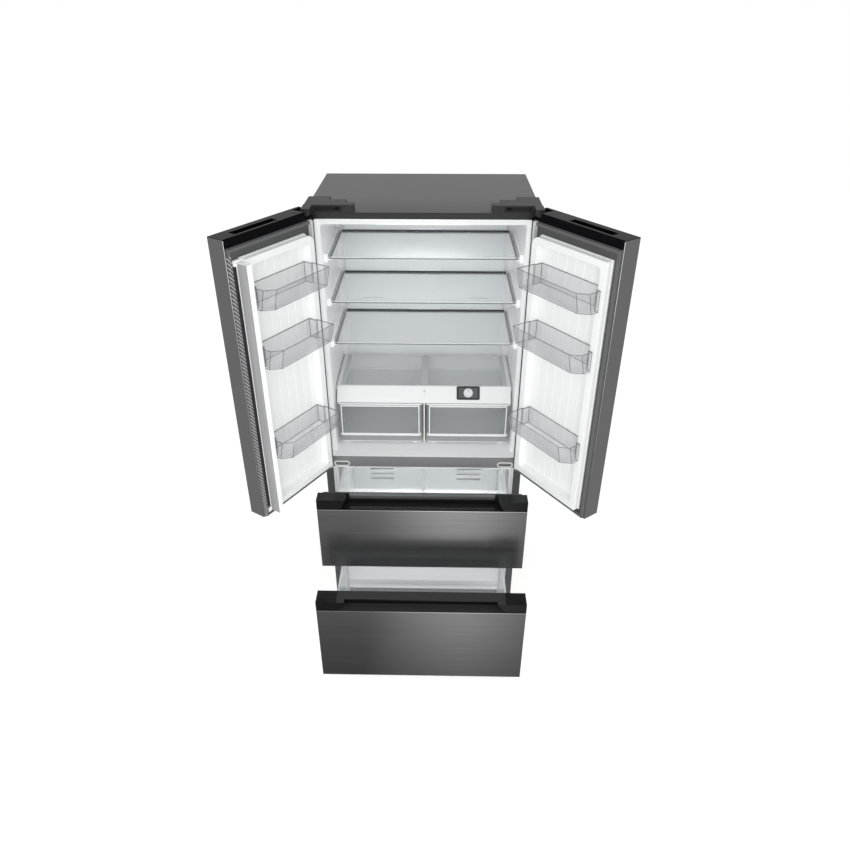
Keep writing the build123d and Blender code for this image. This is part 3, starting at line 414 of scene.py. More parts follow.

# %% [markdown]
# ## Painted sheet
#
# The cabinet, the brackets, the bars and the rear sheets are painted steel. Paint on sheet has a faint
# orange peel, so the helper gives it a soft relief of about a millimetre and a half, and a little metal
# under the colour. The cabinet's front round the openings is painted darker than its top as painted
# shade, and the top is painted darker towards the front as a painted reflection of the doors' caps.


# %% The painted sheet helper
def painted_sheet(name, colour, roughness, peel_mm=1.6, metallic=0.2):
    """Paint on sheet metal, of one colour or of a colour that a function makes."""
    finish, tree, shader = new_finish(name)
    broad = grain(tree, 3)
    base = colour if isinstance(colour, tuple) else colour(tree)
    if isinstance(base, tuple):
        base = tint(tree, broad, shade_of(base, 0.95), base)
    feed(tree, shader.inputs["Base Color"], base)
    tree.links.new(spread(tree, broad, roughness - 0.05, roughness + 0.05), shader.inputs["Roughness"])
    tree.links.new(bump(tree, grain(tree, 1000 / peel_mm), 0.15, 0.00004), shader.inputs["Normal"])
    shader.inputs["Metallic"].default_value = metallic
    shader.inputs["Specular IOR Level"].default_value = 0.3
    return finish


# %% The cabinet's paint
front_shift_mm = -61.0
top_strip_z = (1.8372, 1.8555)
side_top_z = 1.83
painted_reflection_reach = 0.22


def cabinet_colour(tree):
    # Painted shade on the front faces, and a painted reflection of the doors' caps near the front of the
    # top.
    front = faces_towards(tree, (0.0, -1.0, 0.0))
    x, y, z = own_place(tree)
    broad = tint(tree, grain(tree, 3), (0.088, 0.088, 0.09), (0.1, 0.1, 0.103))
    strip = band(tree, z, *top_strip_z)
    front_tone = tint(tree, strip, (0.006, 0.006, 0.006), (0.014, 0.014, 0.015))
    at_side = measure(tree, "LESS_THAN", z, side_top_z)
    front_tone = tint(tree, at_side, front_tone, (0.075, 0.075, 0.077))
    inwards = measure(tree, "DIVIDE", measure(tree, "SUBTRACT", y, front_shift_mm / 1000), painted_reflection_reach)
    reflection_near_front = measure(tree, "SUBTRACT", 1.0, measure(tree, "MINIMUM", inwards, 1.0))
    broad = tint(tree, reflection_near_front, broad, (0.052, 0.052, 0.054))
    return tint(tree, front, broad, front_tone)


cabinet_paint = painted_sheet("cabinet_paint", cabinet_colour, 0.5)
bar_paint = painted_sheet("bar_paint", (0.25, 0.25, 0.255), 0.45)
rear_paint = painted_sheet("rear_paint", (0.22, 0.22, 0.225), 0.5)
black_paint = painted_sheet("black_paint", (0.02, 0.02, 0.021), 0.4)
bracket_paint = painted_sheet("bracket_paint", (0.08, 0.08, 0.083), 0.4, metallic=0.6)
print("painted finishes made")

# %% [markdown]
# ## Brushed steel
#
# The fronts of the doors and drawers are steel brushed from side to side. Noise stretched along the
# grain gives the fine lines, their relief breaks the gloss up, and an anisotropic shader with its
# tangent round the upright axis draws each reflection out across the lines. Only the outer face is
# brushed: the folded ends of a door are the same sheet under grey paint. The fold along the top of each
# drawer front catches more light than the face, so a thin band of the front steel is paler.


# %% The brushed steel helper
def brushed_steel(name, colour, roughness, stretch=(1, 1, 60), metallic=1.0):
    """Brushed steel, whose fine lines lie across the axis that has the high stretch."""
    finish, tree, shader = new_finish(name)
    lines = grain(tree, 22, stretch, 5.0)
    long_lines = grain(tree, 12, (0.16, 0.16, 26), 3.0)
    steeper = measure(tree, "MULTIPLY", measure(tree, "SUBTRACT", long_lines, 0.3), 2.5)
    contrast = spread(tree, steeper, 0.0, 1.0)
    tone = tint(tree, lines, shade_of(colour, 0.92), shade_of(colour, 1.08))
    base = tint(tree, contrast, shade_of(colour, 0.78), tone)
    tree.links.new(base, shader.inputs["Base Color"])
    tree.links.new(spread(tree, long_lines, roughness - 0.05, roughness + 0.05), shader.inputs["Roughness"])
    tree.links.new(bump(tree, lines, 0.1, 0.00004), shader.inputs["Normal"])
    shader.inputs["Metallic"].default_value = metallic
    shader.inputs["Anisotropic"].default_value = 0.5
    tangent = tree.nodes.new("ShaderNodeTangent")
    tangent.direction_type = "RADIAL"
    tangent.axis = "Z"
    tree.links.new(tangent.outputs["Tangent"], shader.inputs["Tangent"])
    return finish


# %% The steels
face_steel = (0.2, 0.2, 0.202)
fold_z = ((0.7605, 0.764), (0.4135, 0.417))
front_steel = brushed_steel("front_steel", face_steel, 0.24, metallic=0.9)
tree = front_steel.node_tree
shader = tree.nodes["Principled BSDF"]
x, y, z = own_place(tree)
fold = bands(tree, z, fold_z)
steel_tone = shader.inputs["Base Color"].links[0].from_socket
tree.links.new(tint(tree, fold, steel_tone, (0.5, 0.5, 0.505)), shader.inputs["Base Color"])
back_steel = brushed_steel("drawer_back", (0.34, 0.34, 0.342), 0.3, (60, 1, 1))
slide_steel = brushed_steel("slide_steel", (0.5, 0.5, 0.5), 0.3, (1, 60, 60))
fin_metal = brushed_steel("fin_metal", (0.55, 0.56, 0.57), 0.35, (60, 60, 1))
# A paler steel for the hems of the doors: a painted highlight on the fold.
hem_highlight_steel = brushed_steel("hem_highlight_steel", (0.62, 0.62, 0.63), 0.22, (1, 1, 1))
print("steel finishes made")

# %% [markdown]
# A door is one wrapped sheet, so its finish has to know the outer face from the ends. Each door stands
# open, so the direction of its outer face is worked out from the angle at which it is hung.

# %% The doors' own finish
door_swing = {"left": math.radians(-122.0), "right": math.radians(125.5)}


def door_steel(side):
    """Brushed steel on the outer face and grey paint on all other faces of one door."""
    finish = brushed_steel(side + "_door_steel", face_steel, 0.24, metallic=0.9)
    tree = finish.node_tree
    steel = tree.nodes["Principled BSDF"]
    swing = door_swing[side]
    outer_face = faces_towards(tree, (math.sin(swing), -math.cos(swing), 0.0))
    paint = tree.nodes.new("ShaderNodeBsdfPrincipled")
    broad = grain(tree, 4)
    tree.links.new(tint(tree, broad, (0.08, 0.08, 0.081), (0.092, 0.092, 0.093)), paint.inputs["Base Color"])
    tree.links.new(spread(tree, broad, 0.42, 0.52), paint.inputs["Roughness"])
    tree.links.new(bump(tree, grain(tree, 600), 0.12, 0.00003), paint.inputs["Normal"])
    paint.inputs["Metallic"].default_value = 0.3
    paint.inputs["Specular IOR Level"].default_value = 0.2
    both = tree.nodes.new("ShaderNodeMixShader")
    tree.links.new(outer_face, both.inputs["Fac"])
    tree.links.new(paint.outputs[0], both.inputs[1])
    tree.links.new(steel.outputs[0], both.inputs[2])
    tree.links.new(both.outputs[0], tree.nodes["Material Output"].inputs["Surface"])
    return finish


door_finish = {side: door_steel(side) for side in door_swing}
print("doors swung, in degrees:", {side: round(math.degrees(a), 1) for side, a in door_swing.items()})

# %% [markdown]
# The inside of a door is one white moulding. Its floor faces the studio squarely and the low walls round
# it only get light from one side, so the floor is painted a slightly greyer white than the walls, as
# painted shade that evens out the light.

# %% The door liners' finish
def door_liner(side):
    """White plastic for one door's lining, with painted shade that makes its floor greyer."""
    swing = door_swing[side]

    def colour(tree):
        floor_face = faces_towards(tree, (-math.sin(swing), math.cos(swing), 0.0))
        return tint(tree, floor_face, (0.92, 0.925, 0.925), (0.79, 0.795, 0.795))

    return moulded_plastic(side + "_door_white", colour, 0.3)


liner_finish = {side: door_liner(side) for side in door_swing}
print("door liner finishes:", len(liner_finish))

# %% [markdown]
# The flip mullion is a white body with a grey plate on its face. The plate's edge beside the door is
# white, and lies where the closed door's own y is small. So the finish first turns the place on the
# open door back to where it is on the closed door.

# %% The plate of the mullion
hinge_x = 0.4045
hinge_y = -0.099
plate_edge_y = -0.0555


def closed_place(tree, side):
    """The place on the closed door, in metres, of a point on the open one."""
    sign = -1.0 if side == "left" else 1.0
    pin = Vector((sign * hinge_x, hinge_y, 0.0))
    back = Matrix.Rotation(-door_swing[side], 3, "Z")
    coordinates = tree.nodes.new("ShaderNodeTexCoord")
    turned = tree.nodes.new("ShaderNodeMapping")
    turned.inputs["Rotation"].default_value = (0.0, 0.0, -door_swing[side])
    turned.inputs["Location"].default_value = pin - back @ pin
    apart = tree.nodes.new("ShaderNodeSeparateXYZ")
    tree.links.new(coordinates.outputs["Object"], turned.inputs["Vector"])
    tree.links.new(turned.outputs["Vector"], apart.inputs[0])
    return apart.outputs


def plate_colour(tree):
    x, y, z = closed_place(tree, "left")
    edge = measure(tree, "LESS_THAN", y, plate_edge_y)
    lines = grain(tree, 9, (40, 40, 0.6), 3.0)
    plate = tint(tree, lines, (0.2, 0.2, 0.205), (0.4, 0.4, 0.405))
    return tint(tree, edge, plate, (0.88, 0.88, 0.88))


mullion_paint = painted_sheet("mullion_paint", plate_colour, 0.42, metallic=0.0)
print("mullion plate made")

# %% [markdown]
# The seals are dark rubber, painted paler along the hinge side of each door as light falling on them.
# Beside the mullion the left door's seal is folded like a bellows, and the light and shade of its folds
# is painted as a fine slanted pattern. Bands of a wave texture, slanted against the height and kept to
# that strip by the place on the closed door, paint that shading.


# %% The seals
seal_dark = (0.105, 0.105, 0.107)
# The pale tone is painted light on the hinge side of the seals.
seal_lit_pale = (0.5, 0.5, 0.5)
seal_hinge_x = 0.384
fold_start_x = -0.0165
fold_top_z = 1.828


def folded_seal(tree):
    x, y, z = closed_place(tree, "left")
    coordinates = tree.nodes.new("ShaderNodeTexCoord")
    folds = tree.nodes.new("ShaderNodeTexWave")
    folds.bands_direction = "DIAGONAL"
    folds.inputs["Scale"].default_value = 44.0
    tree.links.new(coordinates.outputs["Object"], folds.inputs["Vector"])
    # Painted light and shade of the folds, from near black to mid grey.
    pattern = tint(tree, folds.outputs["Fac"], (0.022, 0.022, 0.023), (0.36, 0.36, 0.365))
    beside_mullion = measure(tree, "GREATER_THAN", x, fold_start_x)
    beside_mullion = measure(tree, "MULTIPLY", beside_mullion, measure(tree, "LESS_THAN", z, fold_top_z))
    plain = tint(tree, measure(tree, "LESS_THAN", x, -seal_hinge_x), seal_dark, seal_lit_pale)
    return tint(tree, beside_mullion, plain, pattern)


def right_seal(tree):
    x, y, z = closed_place(tree, "right")
    hinge_side = measure(tree, "GREATER_THAN", x, seal_hinge_x)
    return tint(tree, hinge_side, seal_dark, seal_lit_pale)


right_seal_rubber = moulded_plastic("right_seal_rubber", right_seal, 0.6, 1.4, 0.00008, 0.2)
seal_rubber = moulded_plastic("seal_rubber", seal_dark, 0.6, 1.4, 0.00008, 0.2)
left_seal_rubber = moulded_plastic("left_seal_rubber", folded_seal, 0.6, 1.4, 0.00008, 0.2)
print("seals made")

# %% [markdown]
# ## Clear plastic
#
# Bins, crispers and shelves are clear, with walls a few millimetres thick. Light bends too little in
# such a wall to show, so a see-through coat is used in place of a glass body: it is faint where it is
# looked through, dense where it turns away, and nearly solid along rims, where the eye looks into the
# length of the wall.


# %% The clear plastic helper
shadow_kept = 0.25


def faint_shadow(tree, alpha):
    """Lets most of the light through, as a clear wall does, while the eye still sees the wall."""
    path = tree.nodes.new("ShaderNodeLightPath")
    passed = spread(tree, path.outputs["Is Shadow Ray"], 1.0, shadow_kept)
    return measure(tree, "MULTIPLY", alpha, passed)


def clear_plastic(name, colour, body, edge=0.7, rim=None, rim_colour=(0.9, 0.92, 0.93), rim_alpha=0.85):
    """A clear wall, with its density looked through, its density edge on, and a denser rim."""
    finish, tree, shader = new_finish(name)
    fine = grain(tree, 40)
    tree.links.new(spread(tree, fine, 0.05, 0.12), shader.inputs["Roughness"])
    shader.inputs["IOR"].default_value = 1.5
    facing = tree.nodes.new("ShaderNodeLayerWeight")
    facing.inputs["Blend"].default_value = 0.3
    alpha = spread(tree, facing.outputs["Facing"], body, edge)
    base = tint(tree, fine, shade_of(colour, 0.97), colour)
    if rim is not None:
        on_rim = rim(tree)
        alpha = measure(tree, "MAXIMUM", alpha, measure(tree, "MULTIPLY", on_rim, rim_alpha))
        base = tint(tree, on_rim, base, rim_colour)
    tree.links.new(base, shader.inputs["Base Color"])
    feed(tree, shader.inputs["Alpha"], faint_shadow(tree, alpha))
    return finish


print("share of a clear wall's shadow that is kept:", shadow_kept)

# %% [markdown]
# The rims are told from the walls by their height. The heights of the bins are worked out from the lining
# of the doors, where they hang at three drops below its top.

# %% The clear pieces
lining_top_mm = 1812.0
bin_drops_mm = (170.0, 382.0, 744.0)
bin_height = 72.0
rim_mm = 2.6
crisper_edge_z = ((1.0275, 1.036), (0.8755, 0.8845), (0.84, 0.8475))
basket_rim_z = ((0.7455, 0.76), (0.395, 0.404))
basket_side_x = 0.342


def bin_rim(tree):
    """The top edge of each of the three bins of a door."""
    x, y, z = own_place(tree)
    tops = [(lining_top_mm - drop + bin_height) / 1000 for drop in bin_drops_mm]
    return bands(tree, z, [(top - rim_mm / 1000, top + 0.001) for top in tops])


def crisper_edges(tree):
    """The rim of a crisper, the moulding along its front and its foot."""
    x, y, z = own_place(tree)
    return bands(tree, z, crisper_edge_z)


def basket_edges(tree):
    """The rims of the freezer baskets, and their white sides."""
    x, y, z = own_place(tree)
    side = measure(tree, "GREATER_THAN", measure(tree, "ABSOLUTE", x), basket_side_x)
    return measure(tree, "MAXIMUM", side, bands(tree, z, basket_rim_z))


bin_plastic = clear_plastic("clear_bin", (0.36, 0.37, 0.38), 0.06, 0.34, bin_rim, (0.3, 0.31, 0.32), 0.4)
crisper_plastic = clear_plastic("clear_crisper", (0.5, 0.52, 0.53), 0.16, 0.55, crisper_edges)
basket_plastic = clear_plastic("clear_basket", (0.78, 0.8, 0.81), 0.14, 0.7, basket_edges)
cover_glass = clear_plastic("clear_cover", (0.86, 0.9, 0.91), 0.12, 0.5)
print("clear finishes made")

# %% [markdown]
# A shelf is a pane in a slim frame. Its front rim is a light line, the frame's paler plastic with a painted
# highlight, over a dark line of painted shade, and each side rail has a dark inner edge. The height of the
# pane is read from the frame, so that one helper serves all three shelves.

# %% The shelf finish
pane_drop = 0.004
rim_depth = 0.0041
rail_width = 0.008
painted_shade_below_pane = 0.0035
inner_edge = 0.002


def shelf_finish(name):
    """Clear pane; painted highlight on the rim, painted shade under it, pale rails with dark inner edges."""
    low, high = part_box(name)
    pane_top = high.z - pane_drop
    finish = clear_plastic("clear_" + name, (0.86, 0.9, 0.91), 0.1, 0.45)
    tree = finish.node_tree
    shader = tree.nodes["Principled BSDF"]
    x, y, z = own_place(tree)
    rim = measure(tree, "LESS_THAN", y, low.y + rim_depth)
    from_middle = measure(tree, "ABSOLUTE", x)
    rail = measure(tree, "GREATER_THAN", from_middle, high.x - rail_width)
    frame_with_rim_highlight = measure(tree, "MAXIMUM", rim, rail)
    # Painted shade: a dark line under the front rim.
    under = measure(tree, "MULTIPLY", rim, measure(tree, "LESS_THAN", z, pane_top - painted_shade_below_pane))
    inner = band(tree, from_middle, high.x - rail_width - 0.0002, high.x - rail_width + inner_edge)
    shade_and_inner_edges = measure(tree, "MAXIMUM", under, inner)
    base_link = shader.inputs["Base Color"].links[0].from_socket
    alpha_link = shader.inputs["Alpha"].links[0].from_socket
    light = tint(tree, frame_with_rim_highlight, base_link, (0.7, 0.72, 0.73))
    tree.links.new(tint(tree, shade_and_inner_edges, light, (0.09, 0.095, 0.1)), shader.inputs["Base Color"])
    alpha = measure(tree, "MAXIMUM", alpha_link, measure(tree, "MULTIPLY", frame_with_rim_highlight, 0.6))
    alpha = measure(tree, "MAXIMUM", alpha, measure(tree, "MULTIPLY", shade_and_inner_edges, 0.8))
    feed(tree, shader.inputs["Alpha"], alpha)
    return finish


shelf_names = ["upper_shelf", "middle_shelf", "lower_shelf"]
shelf_glass = {name: shelf_finish(name) for name in shelf_names}
print("shelf finishes:", len(shelf_glass))

# %% [markdown]
# ## Dressing the frame
#
# Each piece of the frame now takes its finish. A list by finish keeps the pieces that are made of one
# stuff together, and the count at the end shows that none was left bare.

# %% Give every piece its finish
worn_by = [
    (white_plastic, ["fridge_liner", "freezer_liner", "mullion_body"]),
    (liner_finish["left"], ["left_door_liner"]),
    (liner_finish["right"], ["right_door_liner"]),
    (fascia_plastic, ["crisper_cover"]),
    (duct_plastic, ["rear_duct", "freezer_duct"]),
    (cap_plastic, ["left_door_caps", "right_door_caps"]),
    (drawer_cap_plastic, ["upper_drawer_cap", "lower_drawer_cap"]),
    (cover_plastic, ["hinge_covers"]),
    (dark_plastic, ["shelf_trims", "control_plate", "front_feet", "rear_rollers", "evaporator_fan"]),
    (dark_plastic, ["drip_tray"]),
    (black_paint, ["compressor", "condenser"]),
    (left_seal_rubber, ["left_door_gasket"]),
    (right_seal_rubber, ["right_door_gasket"]),
    (seal_rubber, ["upper_drawer_gasket", "lower_drawer_gasket"]),
    (foam_filling, ["insulation", "left_door_core", "right_door_core"]),
    (cabinet_paint, ["cabinet_shell"]),
    (bracket_paint, ["upper_hinges", "lower_hinges"]),
    (rear_paint, ["base_pan", "rear_cover", "back_panel"]),
    (bar_paint, ["divider_bars"]),
    (front_steel, ["upper_drawer_skin", "lower_drawer_skin"]),
    (door_finish["left"], ["left_door_skin"]),
    (door_finish["right"], ["right_door_skin"]),
    (slide_steel, ["fixed_rails", "upper_runners", "lower_runners"]),
    (slide_steel, ["upper_slide_middles", "lower_slide_middles"]),
    (dial_plastic, ["control_dial"]),
    (mullion_paint, ["mullion_face"]),
    (back_steel, ["upper_drawer_core", "lower_drawer_core"]),
    (shelf_glass["upper_shelf"], ["upper_shelf"]),
    (shelf_glass["middle_shelf"], ["middle_shelf"]),
    (shelf_glass["lower_shelf"], ["lower_shelf"]),
    (cover_glass, ["crisper_glass"]),
    (bin_plastic, ["left_door_bins", "right_door_bins"]),
    (crisper_plastic, ["left_crisper", "right_crisper"]),
    (basket_plastic, ["upper_basket", "lower_basket"]),
    (lamp_plastic, ["ceiling_lamp"]),
    (fin_metal, ["evaporator"]),
]
dressed = set()
for finish, names in worn_by:
    for name in names:
        for place in nodes[name].material_slots:
            place.material = finish
        dressed.add(name)
print("pieces without a finish:", sorted(set(nodes) - dressed))

# %% [markdown]
# ## Helpers for the trim
#
# The small trim starts from a primitive at its size and place, is shaped in edit mode, and is finished
# with a modifier. Faces are picked in code by their middle and normal. Places are written in
# millimetres of the closed refrigerator and turned into the frame's metres in one helper.


# %% Add a block and pick its parts
def row(x, y, z):
    """A place in millimetres, measured from the cabinet's front flange, in the frame's metres."""
    return (x / 1000, (y + front_shift_mm) / 1000, z / 1000)


def settle(piece):
    """Puts the place, turn and scale of a piece into its mesh."""
    bpy.ops.object.select_all(action="DESELECT")
    piece.select_set(True)
    bpy.context.view_layer.objects.active = piece
    bpy.ops.object.transform_apply(location=True, rotation=True, scale=True)


def block_between(name, low, high):
    """A block from its low corner to its high corner, in millimetres."""
    middle = [(a + b) / 2 for a, b in zip(low, high)]
    size = [(b - a) / 1000 for a, b in zip(low, high)]
    bpy.ops.object.select_all(action="DESELECT")
    bpy.ops.mesh.primitive_cube_add(size=1, location=row(*middle), scale=size)
    piece = bpy.context.object
    piece.name = name
    settle(piece)
    return piece


def pick_faces(piece, test):
    """Opens the piece in edit mode with the faces selected whose middle and normal pass the test."""
    bpy.ops.object.mode_set(mode="EDIT")
    bpy.ops.mesh.select_mode(type="FACE")
    bpy.ops.mesh.select_all(action="DESELECT")
    mesh = bmesh.from_edit_mesh(piece.data)
    for face in mesh.faces:
        face.select_set(test(face.calc_center_median(), face.normal))
    bmesh.update_edit_mesh(piece.data)


def pick_edges(piece, test):
    """Opens the piece in edit mode with the edges selected whose two ends pass the test."""
    bpy.ops.object.mode_set(mode="EDIT")
    bpy.ops.mesh.select_mode(type="EDGE")
    bpy.ops.mesh.select_all(action="DESELECT")
    mesh = bmesh.from_edit_mesh(piece.data)
    for edge in mesh.edges:
        edge.select_set(test(edge.verts[0].co, edge.verts[1].co))
    bmesh.update_edit_mesh(piece.data)


def pick_corners(piece, test):
    """Opens the piece in edit mode with the corners selected that pass the test."""
    bpy.ops.object.mode_set(mode="EDIT")
    bpy.ops.mesh.select_mode(type="VERT")
    bpy.ops.mesh.select_all(action="DESELECT")
    mesh = bmesh.from_edit_mesh(piece.data)
    for corner in mesh.verts:
        corner.select_set(test(corner.co))
    mesh.select_flush_mode()
    bmesh.update_edit_mesh(piece.data)


def leave_edit():
    """Goes back to object mode."""
    bpy.ops.object.mode_set(mode="OBJECT")


print("helpers that add and pick ready")


# %% Finish, copy and hang a piece
def rounded(piece, width_mm, segments=2):
    """Rounds every sharp edge with an applied bevel."""
    bevel = piece.modifiers.new("rounding", "BEVEL")
    bevel.width = width_mm / 1000
    bevel.segments = segments
    bevel.limit_method = "ANGLE"
    bpy.ops.object.modifier_apply(modifier=bevel.name)
    bpy.ops.object.shade_smooth_by_angle(angle=math.radians(40))


def made_of_bars(piece, thickness_mm):
    """Keeps only the edges of a block, as thin bars, with an applied wireframe."""
    bpy.context.view_layer.objects.active = piece
    wires = piece.modifiers.new("edges", "WIREFRAME")
    wires.thickness = thickness_mm / 1000
    wires.offset = 0.0
    bpy.ops.object.modifier_apply(modifier=wires.name)


def with_own_mesh(piece, name):
    """A copy of a piece, under a new name and with a mesh of its own."""
    copied = piece.copy()
    copied.data = piece.data.copy()
    copied.name = name
    bpy.context.scene.collection.objects.link(copied)
    return copied


def finished(piece, finish, body):
    """Gives a piece its finish and the body that carries it."""
    piece.data.materials.clear()
    piece.data.materials.append(finish)
    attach(piece, body)
    return piece


def hang_on_door(piece, side):
    """Swings a piece that is modelled on the closed door to where the open door is."""
    sign = -1.0 if side == "left" else 1.0
    pin = Vector((sign * hinge_x, hinge_y, 0.0))
    swing = Matrix.Rotation(door_swing[side], 4, "Z")
    piece.matrix_world = Matrix.Translation(pin) @ swing @ Matrix.Translation(-pin)
    settle(piece)


print("hinge pin, in metres:", hinge_x, hinge_y)

# %% [markdown]
# ## Light rings on the divider
#
# At each end of the bar between the two spaces sits a pale ring round a long, round-ended recess. A
# cylinder is stretched into that outline by moving its two halves apart, its ends are inset, and the
# two inner faces are bridged, which cuts the ring open.

# %% Model the rings
ring_half_length = 33.5
ring_radius = 13.0
ring_middle_x = 346.5
ring_middle_z = 795.0
ring_band = 4.8
for side, middle_x in (("left", -ring_middle_x), ("right", ring_middle_x)):
    bpy.ops.object.select_all(action="DESELECT")
    bpy.ops.mesh.primitive_cylinder_add(
        vertices=32,
        radius=ring_radius / 1000 - 0.0001,
        depth=0.001,
        location=row(middle_x, 0.3, ring_middle_z),
        rotation=(math.radians(90), 0, 0),
    )
    ring = bpy.context.object
    ring.name = side + "_divider_ring"
    settle(ring)
    stretch = (ring_half_length - ring_radius) / 1000
    for direction in (-1, 1):
        pick_corners(ring, lambda corner: (corner.x - middle_x / 1000) * direction > 0.0001)
        bpy.ops.transform.translate(value=(direction * stretch, 0, 0))
        leave_edit()
    pick_faces(ring, lambda middle, normal: abs(normal.y) > 0.9)
    bpy.ops.mesh.inset(thickness=ring_band / 1000)
    bpy.ops.mesh.bridge_edge_loops()
    leave_edit()
    rounded(ring, 0.25)
    finished(ring, lamp_plastic, "cabinet")
    print(ring.name, "faces:", len(ring.data.polygons))

# %% [markdown]
# ## The bins of the doors
#
# A bin is a clear tray whose narrow rear half slots between the walls of the door's lining, while its
# front half overhangs them, leans outwards and has one corner cut off. The tray is modelled from a
# block: two cuts across mark the rear half, which is extruded back, the corner is beveled, the top edge
# of the overhang is pushed out, and the top face is inset and sunk to hollow it. The rear wall stops just
# short of the lining, because a clear and a white face in one plane would show as stripes. A bin shows
# mostly as its edges, where the walls are thick, so a copy of the outer block with a wireframe modifier
# adds those as thin grey bars.

# %% Shape one bin
edge_plastic = moulded_plastic("clear_edge", (0.11, 0.115, 0.12), 0.25)
bin_front = 78.0
bin_middle = 18.5
bin_rear = -13.4
bin_lean = 17.0
bin_wall = 2.5
corner_cut = 30.0


def bin_block(name, x, slot_x, low, near_x):
    """The outer form of one bin on the closed door."""
    piece = block_between(name, (x[0], bin_middle, low), (x[1], bin_front, low + bin_height))
    for cut_x in slot_x:
        bpy.ops.object.mode_set(mode="EDIT")
        bpy.ops.mesh.select_all(action="SELECT")
        bpy.ops.mesh.bisect(plane_co=(cut_x / 1000, 0, 0), plane_no=(1, 0, 0))
        leave_edit()
    pick_faces(piece, lambda middle, normal: normal.y < -0.9 and slot_x[0] < middle.x * 1000 < slot_x[1])
    to_rear = (0, (bin_rear - bin_middle) / 1000, 0)
    bpy.ops.mesh.extrude_region_move(TRANSFORM_OT_translate={"value": to_rear})
    bpy.ops.mesh.select_all(action="SELECT")
    bpy.ops.mesh.dissolve_limited(angle_limit=math.radians(1))
    leave_edit()
    front_y = row(0, bin_front - 2, 0)[1]

    def upright_corner(a, b):
        off_corner = max(abs(a.x - near_x / 1000), abs(b.x - near_x / 1000))
        return off_corner < 0.001 and min(a.y, b.y) > front_y

    pick_edges(piece, upright_corner)
    bpy.ops.mesh.bevel(offset=corner_cut / 1000, segments=1, affect="EDGES")
    leave_edit()
    top = (low + bin_height - 0.5) / 1000
    overhang_y = row(0, 30, 0)[1]
    pick_corners(piece, lambda corner: corner.z > top and corner.y > overhang_y)
    bpy.ops.transform.translate(value=(0, bin_lean / 1000, 0))
    leave_edit()
    return piece


def hollow_bin(piece, low):
    """Sinks the top of the block down to the floor of the bin, with walls of one thickness."""
    depth = bin_height - bin_wall
    pick_faces(piece, lambda middle, normal: normal.z > 0.9)
    bpy.ops.mesh.inset(thickness=bin_wall / 1000)
    bpy.ops.mesh.extrude_region_move(TRANSFORM_OT_translate={"value": (0, 0, -depth / 1000)})
    leave_edit()
    floor_z = (low + bin_wall) / 1000
    overhang_y = row(0, 40, 0)[1]
    pick_corners(piece, lambda corner: abs(corner.z - floor_z) < 0.0005 and corner.y > overhang_y)
    bpy.ops.transform.translate(value=(0, -bin_lean / 1000 * depth / bin_height, 0))
    leave_edit()
    rounded(piece, 0.5, 1)


print("depth of a bin, in mm:", bin_front - bin_rear)

# %% [markdown]
# The left door's bins stop short of its mullion, so they are a little narrower than the right door's. The
# copy for the bars is taken before the block is hollowed, while it still has only its outer edges.

# %% Make the six bins
free_end = {"left": 70.0, "right": 48.0}
hinge_end = 358.0
slot_hinge_end = 352.0
slot_step = 14.0
for side in ("left", "right"):
    sign = -1 if side == "left" else 1
    x = sorted((sign * free_end[side], sign * hinge_end))
    slot_x = sorted((sign * (free_end[side] + slot_step), sign * slot_hinge_end))
    for count, drop in enumerate(bin_drops_mm, start=1):
        low = lining_top_mm - drop
        tray = bin_block(f"{side}_door_bin_{count}", x, slot_x, low, sign * free_end[side])
        bars = with_own_mesh(tray, f"{side}_bin_edges_{count}")
        hollow_bin(tray, low)
        hang_on_door(tray, side)
        finished(tray, bin_plastic, side + "_door")
        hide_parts(side + "_door_bins")
        made_of_bars(bars, 2.1)
        hang_on_door(bars, side)
        finished(bars, edge_plastic, side + "_door")
print("bins modelled:", 2 * len(bin_drops_mm), "faces in one:", len(tray.data.polygons))

# %% [markdown]
# ## Front frames of the crispers
#
# Each crisper has a pale frame round its clear front. A thin block is inset on its front and back, the
# two inner faces are bridged into an opening, and a bevel softens the bars.

# %% Model the crisper frames
frame_plastic = moulded_plastic("pale_frame", (0.86, 0.88, 0.88), 0.25)
crisper_fronts = {"left": (-351.0, -18.0), "right": (22.0, 351.0)}
frame_y = (93.6, 99.8)
frame_z = (884.0, 1026.0)
frame_bar = 4.5
for side, (low_x, high_x) in crisper_fronts.items():
    low_corner = (low_x, frame_y[0], frame_z[0])
    high_corner = (high_x, frame_y[1], frame_z[1])
    surround = block_between(side + "_crisper_frame", low_corner, high_corner)
    pick_faces(surround, lambda middle, normal: abs(normal.y) > 0.9)
    bpy.ops.mesh.inset(thickness=frame_bar / 1000)
    bpy.ops.mesh.bridge_edge_loops()
    leave_edit()
    rounded(surround, 0.9)
    finished(surround, frame_plastic, side + "_crisper")
    print(surround.name, "faces:", len(surround.data.polygons))

# %% [markdown]
# ## Edges of the freezer baskets
#
# The baskets show in the same way as the bins, so the same wireframe makes their bars. The upper
# drawer carries two baskets side by side, with the bars a little inside the walls.

# %% Model the basket edges
basket_half = 345.0
basket_spans = {
    "upper_left_basket_edges": ("upper", -basket_half, 2.0),
    "upper_right_basket_edges": ("upper", 5.0, basket_half),
    "lower_basket_edges": ("lower", -basket_half, basket_half),
}
for name, (drawer, low_x, high_x) in basket_spans.items():
    low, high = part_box(drawer + "_basket")
    near_y = low.y * 1000 - front_shift_mm
    far_y = high.y * 1000 - front_shift_mm
    low_corner = (low_x + 2, near_y + 2, low.z * 1000 + 1)
    high_corner = (high_x - 2, far_y - 2, high.z * 1000 - 2.2)
    bars = block_between(name, low_corner, high_corner)
    made_of_bars(bars, 3.4)
    finished(bars, frame_plastic, drawer + "_drawer")
    print(name, "from", round(near_y), "to", round(far_y), "mm")

